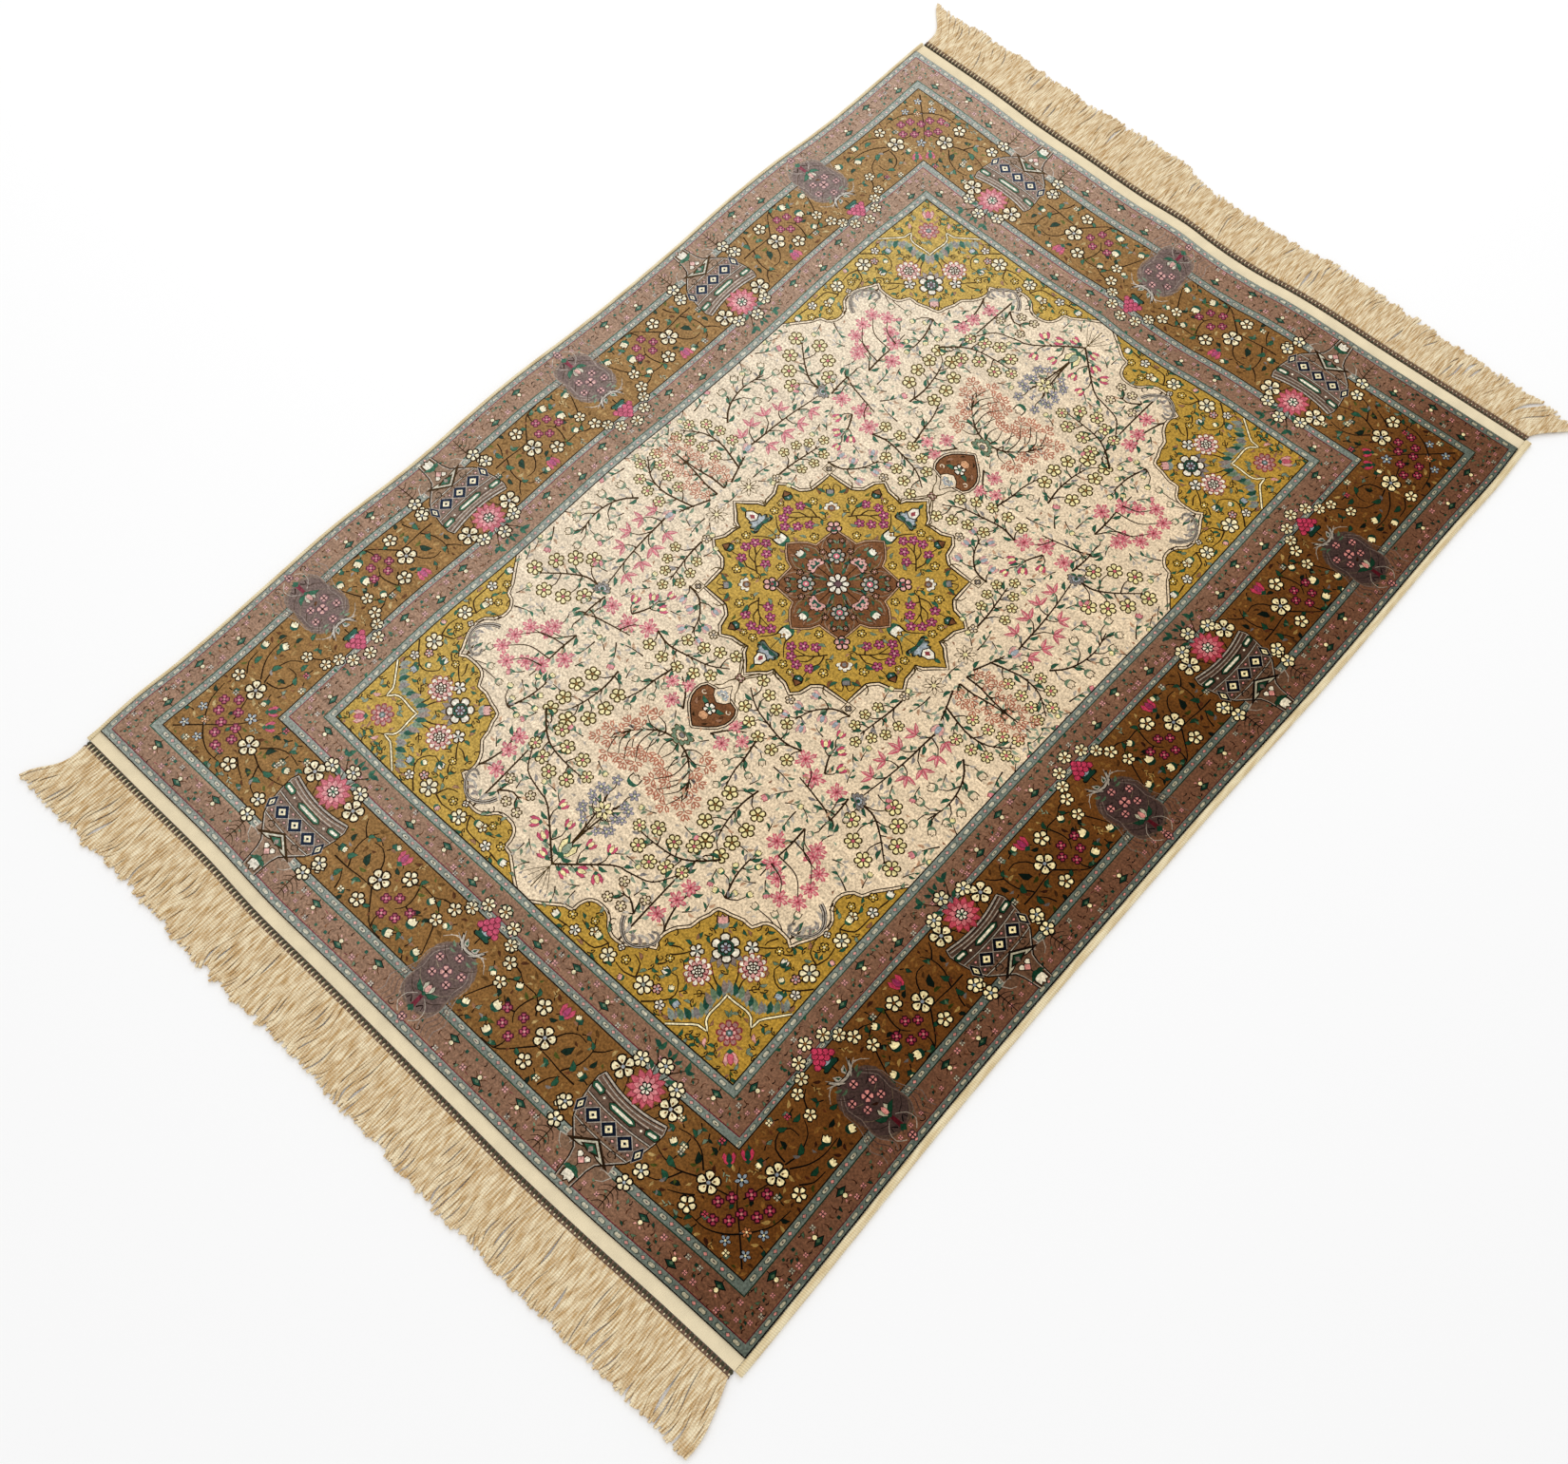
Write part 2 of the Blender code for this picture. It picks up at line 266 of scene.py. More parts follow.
def pilePiece(name, flat, faces, dyes, material):
    # a closed slab of pile: its dyed top, straight walls, and a plain foot inside the foundation
    used, local = np.unique(faces, return_inverse=True)
    faces = local.reshape(-1, 3)
    flat = flat[used]
    edges = np.concatenate([faces[:, [0, 1]], faces[:, [1, 2]], faces[:, [2, 0]]])
    ways = set(map(tuple, edges.tolist()))
    rim = np.array([pair for pair in ways if (pair[1], pair[0]) not in ways])
    corners, rimLocal = np.unique(rim, return_inverse=True)
    rimLocal = rimLocal.reshape(-1, 2)
    made = delaunay_2d_cdt([Vector(p) for p in flat[corners].tolist()], rimLocal.tolist(), [], 4, 0.001)
    order = [source[0] for source in made[3]]
    foot = np.array([[order[k] for k in face] for face in made[2] if len(face) == 3])
    x, y = warpCartoon(flat[:, 0], flat[:, 1])
    top = np.stack([x, y, pileHeight(flat) * mm], axis=1)
    below = top[corners].copy()
    below[:, 2] = rug["pileFoot"] * mm
    count = len(top)
    a, b = rim[:, 0], rim[:, 1]
    lowA, lowB = rimLocal[:, 0] + count, rimLocal[:, 1] + count
    walls = np.concatenate([np.stack([b, a, lowA], 1), np.stack([b, lowA, lowB], 1)])
    everyFace = np.concatenate([faces, walls, foot[:, ::-1] + count])
    everyPoint = np.concatenate([top, below])
    everyDye = np.concatenate([dyes, np.full(len(walls) + len(foot), dyeNames.index("umber"))])
    everyFlat = np.concatenate([flat, flat[corners]])
    mesh = bpy.data.meshes.new(name)
    mesh.vertices.add(len(everyPoint))
    mesh.vertices.foreach_set("co", everyPoint.astype(np.float32).ravel())
    mesh.loops.add(len(everyFace) * 3)
    mesh.loops.foreach_set("vertex_index", everyFace.astype(np.int32).ravel())
    mesh.polygons.add(len(everyFace))
    mesh.polygons.foreach_set("loop_start", np.arange(0, len(everyFace) * 3, 3, dtype=np.int32))
    mesh.update(calc_edges=True)
    mesh.validate()
    mesh.shade_flat()
    colours = np.array([linear(dyeCard[dye]) for dye in dyeNames], np.float32)
    layer = mesh.color_attributes.new("dye", "FLOAT_COLOR", "CORNER")
    layer.data.foreach_set("color", np.repeat(colours[everyDye], 3, axis=0).ravel())
    chart = mesh.uv_layers.new(name="cartoon")
    spread = everyFlat[everyFace.ravel()] / (rug["width"], rug["length"])
    chart.data.foreach_set("uv", spread.astype(np.float32).ravel())
    return linkMesh(name, mesh, [material])


pieceBands = {"pileOuterBorder": (0, 5), "pileMainBorder": (6, 8), "pileInnerBorder": (9, 13),
              "pileField": (14, 15), "pileFieldMiddle": (18, 18), "pileMedallion": (16, 16),
              "pileCorners": (17, 17)}


# Motifs of the cartoon.
def blossom(at, radius, petal="cream", edge="ink", heart="camel", petals=5, turn=90.0, line=2.0):
    # round petals parted by thin lines of the edge dye
    fine = radius > 9.0
    wedge = 2j * math.pi / petals
    swings = ((-0.5, 0.72), (-0.34, 0.97), (-0.12, 1.05), (0.12, 1.05), (0.34, 0.97)) if fine \
        else ((-0.5, 0.72), (-0.22, 1.03), (0.22, 1.03))
    reach = 1.05 - line / radius
    inner = ((0.0, 0.2), (-0.36, 0.58), (-0.33, reach - 0.1), (-0.12, reach), (0.12, reach),
             (0.33, reach - 0.1), (0.36, 0.58)) if fine \
        else ((0.0, 0.18), (-0.34, 0.62), (-0.2, reach), (0.2, reach), (0.34, 0.62))
    outline = [at + radius * aim(turn) * r * np.exp(wedge * (k + swing)) for k in range(petals)
               for swing, r in swings]
    patch(outline, edge)
    for k in range(petals):
        patch([at + radius * aim(turn) * r * np.exp(wedge * (k + swing)) for swing, r in inner], petal)
    if fine:
        patch(at + 0.3 * radius * ring(petals, turn + 180 / petals), edge)
    patch(at + (0.2 if fine else 0.25) * radius * ring(petals, turn + 180 / petals), heart)


def starBlossom(at, radius, petal="pink", edge="crimson", heart="lemon", petals=6, turn=90.0, line=1.0):
    wedge = 2j * math.pi / petals
    outline = [at + radius * aim(turn) * reach * np.exp(wedge * (k + swing)) for k in range(petals)
               for swing, reach in ((-0.5, 0.5), (-0.27, 0.82), (0.0, 1.08), (0.27, 0.82))]
    patch(outline, edge)
    tip = 1.04 - line / radius
    for k in range(petals):
        patch([at + radius * aim(turn) * reach * np.exp(wedge * (k + swing))
               for swing, reach in ((0.0, 0.16), (-0.33, 0.55), (-0.2, 0.76), (0.0, tip), (0.2, 0.76),
                                    (0.33, 0.55))],
              petal)
    patch(at + 0.2 * radius * ring(petals, turn), heart)


def ragged(at, radius, dye="pink", light="blush", dark="crimson", turn=90.0, petals=7):
    # a loose bloom drawn tone on tone, its petals of uneven reach
    uneven = (1.0, 0.82, 1.06, 0.78, 0.96, 0.86, 1.02, 0.8, 0.94)
    wedge = 2j * math.pi / petals
    outline = []
    for k in range(petals):
        reach = uneven[k % 9]
        outline += [at + radius * aim(turn) * r * np.exp(wedge * (k + swing))
                    for swing, r in ((-0.5, 0.42), (-0.3, 0.8 * reach), (-0.06, 1.05 * reach),
                                     (0.12, 0.86 * reach), (0.3, 0.92 * reach))]
    patch(outline, dye)
    for k in range(petals):
        way = radius * aim(turn + 360 * (k + 0.03) / petals) * uneven[k % 9]
        patch([at + way * 0.2, at + way * (0.5 + 0.13j), at + way * 0.84, at + way * (0.5 - 0.13j)], light)
    patch([at + 0.2 * radius * aim(turn + 72 * k) * (1 if k % 2 else 0.6) for k in range(5)], dark)


def leaf(at, length, turn, dye="leaf", edge=None, fat=0.36, bend=0.12, light=None):
    way = length * aim(turn)
    shape = np.array([0, 0.28 + 0.5j * fat, 0.62 + 0.46j * fat, 1.0, 0.62 - 0.36j * fat,
                      0.28 - 0.42j * fat])
    if length < 8.2:
        shape = np.array([0, 0.42 + 0.56j * fat, 1.0, 0.46 - 0.46j * fat])
    shape = shape + 1j * bend * np.sin(math.pi * shape.real)
    if edge:
        middle = 0.5 + 1j * bend
        patch(at + way * (middle + (shape - middle) * (1 + 1.7 / length)), edge)
    patch(at + way * shape, dye)
    if light:
        patch(at + way * (np.array([0.1, 0.3 + 0.34j * fat, 0.6 + 0.32j * fat, 0.92,
                                    0.5 + 0.02j]) + 1j * bend * 0.9),
              light)


def stem(points, width=1.1, dye="ink", taper=0.55):
    # a smooth line through the points, thinner towards its tip
    points = np.asarray(points, complex)
    if len(points) > 2:
        ends = np.concatenate([[2 * points[0] - points[1]], points, [2 * points[-1] - points[-2]]])
        line = []
        for k in range(len(points) - 1):
            p0, p1, p2, p3 = ends[k:k + 4]
            count = max(2, int(abs(p2 - p1) / 6.0))
            for t in np.arange(count) / count:
                line.append(0.5 * (2 * p1 + (p2 - p0) * t + (2 * p0 - 5 * p1 + 4 * p2 - p3) * t * t
                                   + (3 * p1 - p0 - 3 * p2 + p3) * t ** 3))
        points = np.array(line + [points[-1]])
    way = np.gradient(points)
    way = way / np.maximum(np.abs(way), 1e-6)
    half = width / 2 * (1 - (1 - taper) * np.linspace(0, 1, len(points)))
    left = points + 1j * way * half
    right = points - 1j * way * half
    for k in range(len(points) - 1):
        patch([left[k], left[k + 1], right[k + 1], right[k]], dye)
    return points


def curl(at, radius, turn, sweep=330.0, width=1.1, dye="ink"):
    # a tendril that winds in to its own middle
    count = max(6, int(abs(sweep) / 36))
    t = np.linspace(0, 1, count)
    stem(at + radius * (1 - 0.72 * t) * np.exp(1j * np.radians(turn + sweep * t)), width, dye)


def fan(at, size, turn, dye, lobes=5, spread=150.0, notch=0.8, root=0.0):
    # scalloped petals spread like a fan from one foot
    points = [at + size * root * aim(turn)]
    step = spread / lobes
    for k in range(lobes):
        start = turn - spread / 2 + k * step
        lift = 1.0 - 0.22 * abs((k + 0.5) / lobes * 2 - 1)
        points += [at + size * notch * lift * aim(start + 0.04 * step),
                   at + size * lift * aim(start + 0.3 * step),
                   at + size * lift * aim(start + 0.7 * step)]
    points.append(at + size * notch * 0.8 * aim(turn + spread / 2))
    patch(points, dye)


def bud(at, size, turn, petal="cream", edge="ink", cup="leaf"):
    # a closed tulip in its green cup, growing from its foot
    way = size * aim(turn)
    shape = np.array([0, 0.16 + 0.3j, 0.5 + 0.44j, 0.95 + 0.4j, 0.84 + 0.16j, 1.08, 0.84 - 0.16j,
                      0.95 - 0.4j, 0.5 - 0.44j, 0.16 - 0.3j])
    middle = 0.55
    patch(at + way * shape, edge)
    inner = middle + (shape - middle) * 0.76
    patch(at + way * inner, petal)
    patch(at + way * np.array([0, 0.12 + 0.3j, 0.42 + 0.44j, 0.34 + 0.05j, 0.34 - 0.05j, 0.42 - 0.44j,
                               0.12 - 0.3j]),
          cup)


def openTulip(at, size, turn, outer="pink", inner="lemon", edge="crimson", cup="leaf"):
    # two side petals and a heart, on a small cup
    way = size * aim(turn)
    for lean in (1, -1):
        side = np.array([0.05, 0.3 + 0.34j * lean, 0.75 + 0.5j * lean, 1.05 + 0.34j * lean,
                         0.72 + 0.12j * lean])
        patch(at + way * (0.5 + (side - 0.5) * 1.12), edge)
        patch(at + way * side, outer)
    heart = np.array([0.15, 0.45 + 0.2j, 0.8 + 0.16j, 1.0, 0.8 - 0.16j, 0.45 - 0.2j])
    patch(at + way * (0.5 + (heart - 0.5) * 1.2), edge)
    patch(at + way * heart, inner)
    patch(at + way * np.array([-0.1, 0.12 + 0.26j, 0.3, 0.12 - 0.26j]), cup)


def palmette(at, size, turn, outer="pink", middle="cream", heart="teal", edge="ink", cup="leaf", lobes=7):
    foot = at - 0.35 * size * aim(turn)
    fan(foot, size * 1.3, turn, edge, lobes, 200.0)
    fan(foot + 0.04 * size * aim(turn), size * 1.16, turn, outer, lobes, 196.0)
    fan(foot + 0.06 * size * aim(turn), size * 0.84, turn, edge, max(3, lobes - 2), 150.0)
    fan(foot + 0.1 * size * aim(turn), size * 0.7, turn, middle, max(3, lobes - 2), 146.0)
    patch(foot + size * aim(turn) * (0.36 + 0.26 * ring(6)), edge)
    patch(foot + size * aim(turn) * (0.36 + 0.18 * ring(6)), heart)
    for lean in (1, -1):
        leaf(foot, size * 0.8, turn + 105 * lean, cup, fat=0.4, bend=0.12 * lean)


def lozenge(at, wide, high, dye):
    patch([at - wide, at - 1j * high, at + wide, at + 1j * high], dye)


def rosette(at, radius, petal="blush", edge="plum", heart="ink"):
    # four little petals set crosswise in a fine outline
    if radius > 5.5:
        blossom(at, radius, petal, edge, heart, petals=4, turn=45.0)
        return
    patch([at + radius * (1.05 if k % 2 else 0.6) * aim(45 * k) for k in range(8)], edge)
    for k in range(4):
        way = radius * aim(90 * k + 45)
        patch([at + way * 0.12, at + way * (0.5 + 0.3j), at + way * 0.86, at + way * (0.5 - 0.3j)], petal)


# Sprays: a stem, and a twig from it to each flower of one kind.
flowerKinds = {
    "pinkStar": lambda at, r, turn: ragged(at, r * 1.25, "coral", "blush", "rustPink", turn, 7),
    "redStar": lambda at, r, turn: ragged(at, r * 1.22, "coral", "blush", "rustPink", turn, 8),
    "yellowRound": lambda at, r, turn: blossom(at, r * 1.03, "lemon", "olive", "coral", 6, turn),
    "yellowStar": lambda at, r, turn: blossom(at, r * 1.06, "lemon", "olive", "camel", 5, turn),
    "rustSpark": lambda at, r, turn: rustSpark(at, r, turn),
    "ivoryRound": lambda at, r, turn: blossom(at, r, "ivory", "olive", "lemon", 5, turn),
    "ivoryTulip": lambda at, r, turn: bud(
        at - r * aim(turn) * 0.6, r * 1.5, turn, "ivory", "olive", "sage"),
    "greyBud": lambda at, r, turn: bud(
        at - r * aim(turn) * 0.6, r * 1.4, turn, "ivory", "grey", "sage"),
    "greenBud": lambda at, r, turn: bud(
        at - r * aim(turn) * 0.6, r * 1.5, turn, "lemon", "olive", "leaf"),
    "pinkTulip": lambda at, r, turn: openTulip(
        at - r * aim(turn) * 0.6, r * 1.5, turn, "pink", "lemon", "crimson"),
    "greyTulip": lambda at, r, turn: openTulip(
        at - r * aim(turn) * 0.6, r * 1.5, turn, "blush", "ice", "grey", "leaf"),
    "blueStar": lambda at, r, turn: starBlossom(at, r * 0.9, "lilac", "slateDeep", "lemon", 5, turn),
    "leafy": lambda at, r, turn: leafySpray(at, r, turn),
    "cream": lambda at, r, turn: blossom(at, r, "cream", "ink", "camel", 5, turn),
    "berry": lambda at, r, turn: blossom(at, r * 1.08, "berryPink", "wine", "blush", 4, turn),
}


def rustSpark(at, r, turn):
    # bells of ivory silk outlined in russet, set round one twig
    for spread, lift in ((-70, 0), (-24, 1), (24, 1), (70, 0)):
        way = r * aim(turn + spread)
        foot = at + 0.35 * lift * r * aim(turn)
        patch([foot, foot + way * (0.5 + 0.3j), foot + way * (1.15 + 0.16j), foot + way * 0.95,
               foot + way * (1.15 - 0.2j), foot + way * (0.5 - 0.3j)],
              "russet")
        patch([foot + way * 0.26, foot + way * (0.55 + 0.13j), foot + way * 0.9,
               foot + way * (0.55 - 0.13j)],
              "ivory")


def leafySpray(at, r, turn):
    for lean in (-52, 0, 52):
        leaf(at - 0.7 * r * aim(turn), r * 1.7, turn + lean, "coral", edge="rustPink", fat=0.34,
             bend=0.0, light="blush")
    leaf(at - 0.6 * r * aim(turn), r * 0.9, turn + 120, "sage", fat=0.4)


def nearestOn(line, spot, back=0.55):
    # the place on a stem where a twig to this spot leaves it
    gap = np.abs(line - spot)
    index = int(np.argmin(gap))
    walk = gap[index] * back
    while index > 0 and walk > 0:
        walk -= abs(line[index] - line[index - 1])
        index -= 1
    return index


leafTurns = ("leaf", "mist", "sage", "biscuit", "fern", "grey")


def spray(points, kind, flowers, dye="bark", width=2.7, leafSize=10.5, spacing=9.0, spot=None):
    spot = spot or fieldSpot
    line = stem([spot(*p) for p in points], width, dye, 0.6)
    run = np.concatenate([[0], np.cumsum(np.abs(np.diff(line)))])
    side = 1
    for count, walk in enumerate(np.arange(spacing * 0.6, run[-1], spacing)):
        index = int(np.searchsorted(run, walk)) - 1
        way = line[min(index + 1, len(line) - 1)] - line[index]
        turn = math.degrees(math.atan2(way.imag, way.real)) + 42 * side
        foot = line[index] + 3.0 * aim(turn)
        stem([line[index], foot], 1.5, dye)
        green = count % 3 == 0
        leaf(foot, leafSize + 1.5 * green, turn - 12 * side, "leaf" if green else leafTurns[count % 6],
             edge="bark" if green else None, fat=0.4, bend=0.12 * side)
        side = -side
    if kind == "rustSpark":
        flowers = [(x + a, y + b, r) for x, y, r in flowers for a, b in ((0, 0), (11, 7))]
    for count, flower in enumerate(flowers):
        at = spot(flower[0], flower[1])
        radius = flower[2] if len(flower) > 2 else 8.0
        index = nearestOn(line, at)
        root = line[index]
        way = at - root
        middle = (root + at) / 2 + 0.16j * way * (1 if (index + len(line)) % 2 else -1)
        stem([root, middle, at], 1.9, dye)
        turn = math.degrees(math.atan2((at - middle).imag, (at - middle).real))
        leaf((root + middle) / 2, 9.0, turn + 50 * (1 if count % 2 else -1), leafTurns[(count + 1) % 6],
             fat=0.38)
        flowerKinds[kind](at, radius, turn)


# A rough map of what is already drawn, so that small leaves can fill the gaps.
def markDrawn(outline):
    low, high = np.min([outline.real, outline.imag], axis=1), np.max([outline.real, outline.imag], axis=1)
    if (high - low).prod() < 700:
        a, b = np.clip(low / 2, 0, None).astype(int), np.clip(high / 2 + 1, 0, None).astype(int)
        cartoon["drawn"][a[0]:b[0], a[1]:b[1]] = True


def insidePolygon(place, outline):
    nextPoint = np.roll(outline, -1)
    crosses = (outline.imag > place.imag) != (nextPoint.imag > place.imag)
    with np.errstate(divide="ignore", invalid="ignore"):
        step = nextPoint - outline
        at = outline.real + (place.imag - outline.imag) * step.real / step.imag
    return bool((crosses & (place.real < at)).sum() % 2)


def fillGaps(low, high, step, clear, allowed, drawOne, seed):
    # one small filler wherever nothing else lies within the clear distance
    draw = np.random.default_rng(seed)
    reach = int(clear / 2)
    row = 0
    y = low.imag
    while y < high.imag:
        for x in np.arange(low.real + (row % 2) * step / 2, high.real, step):
            at = complex(x + draw.uniform(-0.25, 0.25) * step, y + draw.uniform(-0.25, 0.25) * step)
            turn = draw.uniform(0, 360)
            pick = int(draw.integers(0, 1000))
            a, b = int(at.real / 2), int(at.imag / 2)
            if cartoon["drawn"][max(0, a - reach):a + reach + 1, max(0, b - reach):b + reach + 1].any():
                continue
            if allowed(at):
                drawOne(at, turn, pick)
        y += step * 0.87
        row += 1


# Guard stripes: long beads and small lozenges by turns.
def beadRow(band, pitch=22.5, bead="pearl", shade="slateDeep", gem="blush", dot=None):
    high = bandTable[bandName[band] + 1][1]
    for strip, reach in ((onEnd, halfWide), (onSide, halfLong)):
        strip(band)
        lowSeat = seat(0, bandTable[bandName[band]][1]).imag
        highSeat = seat(0, high).imag
        middle = (lowSeat + highSeat) / 2
        tall = (highSeat - lowSeat) / 2
        for k in range(int(reach / pitch) + 1):
            along = reach - pitch * (k + 0.5)
            if along < lowSeat + pitch * 0.35:
                continue
            at = complex(along, middle)
            pill = np.array([-1, -0.72 - 0.8j, 0.72 - 0.8j, 1, 0.72 + 0.8j, -0.72 + 0.8j])
            shape = pill.real * 5.4 + 1j * pill.imag * tall * 0.66
            patch(at + shape, shade)
            patch(at + shape * 0.76, bead)
            if dot:
                patch(at + shape * 0.26, dot)
            gemAt = at + pitch / 2
            lozenge(gemAt, 3.4, tall * 0.62, shade)
            lozenge(gemAt, 2.3, tall * 0.42, gem)


# Minor borders: capped tulips by turns hanging from one line and standing on the other.
minorRows = {
    "outerMinor": {"end": ((64, -1), (115, 1), (165, -1), (340, -1), (391, 1), (440, -1)),
                   "side": ((76, -1), (132, 1), (184, -1), (357, -1), (402, 1), (600, -1), (650, 1))},
    "innerMinor": {"end": ((193, -1), (347, 1), (397, -1), (448, 1)),
                   "side": ((207, -1), (336, 1), (382, -1), (429, 1), (570, 1), (620, -1), (668, 1))},
}


def cappedTulip(foot, way):
    # way is +1j when it stands on the line nearer the rug's edge, and -1j when it hangs
    patch(foot + way * np.array([2.0, 6.0 - 8.4j, 11.0, 6.0 + 8.4j]), "ink")
    patch(foot + way * np.array([3.2, 6.2 - 6.6j, 9.6, 6.2 + 6.6j]), "teal")
    patch(foot + way * np.array([5.4, 7.0 - 2.6j, 9.4, 7.0 + 2.6j]), "sage")
    patch(foot + way * (12.0 + 3.4 * ring(6)), "ink")
    patch(foot + way * (12.0 + 2.5 * ring(6)), "cream")
    for lean in (1, -1):
        stem([foot + way * (10.0 + 3.0j * lean), foot + way * (13.0 + 5.0j * lean),
              foot + way * (14.5 + 9.0j * lean)], 1.3, "umber")
        leaf(foot + way * (15.0 + 2.0j * lean), 4.0, math.degrees(np.angle(way)) + 50 * lean, "blush",
             fat=0.5)
    stem([foot - way * 0.5, foot + way * 3.0], 1.2, "ink")


def comma(at, tall, lean, dye="umber"):
    stem([at - 0.5j * tall, at + lean * 1.2, at + 0.5j * tall - lean * 0.4], 1.7, dye, 0.3)


def minorBorder(band):
    rows = minorRows[band]
    low, high = bandTable[bandName[band]][1], bandTable[bandName[band] + 1][1]
    for strip, key, reach in ((onEnd, "end", halfWide), (onSide, "side", halfLong)):
        strip(band)
        lowSeat, highSeat = seat(0, low).imag, seat(0, high).imag
        middle = (lowSeat + highSeat) / 2
        places = [row[0] for row in rows[key]]
        for along, pose in rows[key]:
            foot = complex(along, lowSeat + 1.0 if pose > 0 else highSeat - 1.0)
            cappedTulip(foot, 1j * pose)
            for lean in (-1, 1):
                comma(complex(along + 16.5 * lean, middle - 3 * pose), 7.0, lean)
        for first, second in zip(places, places[1:]):
            if second - first > 60:
                continue
            between = (first + second) / 2
            pose = 1 if places.index(first) % 2 else -1
            rosette(complex(between - 3, middle + 7.0 * pose), 4.6)
            patch(complex(between + 5, middle - 7.5 * pose) + 2.6 * ring(4, 45), "teal")
            patch(complex(between - 9, middle - 8.5 * pose) + 2.2 * ring(4, 30), "leaf")
            stem([complex(between - 8, middle + 8.5 * pose),
                  complex(between - 13, middle + 9.5 * pose)],
                 1.0, "crimson")
            comma(complex(between + 1.0, middle - 1.0), 6.0, -1, "rust")
        # a quiet turn of leaves fills the corner and the places beside the vases
        for along in np.arange(lowSeat + 8, reach, 17.0):
            if min(abs(along - p) for p in places) > 22:
                leaf(complex(along, middle - 4), 6.5, 35, "teal", fat=0.45)
                leaf(complex(along + 8, middle + 4), 6.0, 200, "sage", fat=0.45)
                comma(complex(along + 3.5, middle), 7.0, 1, "rust")
                rosette(complex(along + 11, middle - 5.5), 3.4)


def fieldSpot(x, y):
    # a place measured on the laid rug, moved to the cartoon
    return complex(halfWide - (492 - x) * 1.01, halfLong - (718 - y) * 1.002)


def cornerSpot(x, y):
    return complex(x + 1.5, y + 1.0)


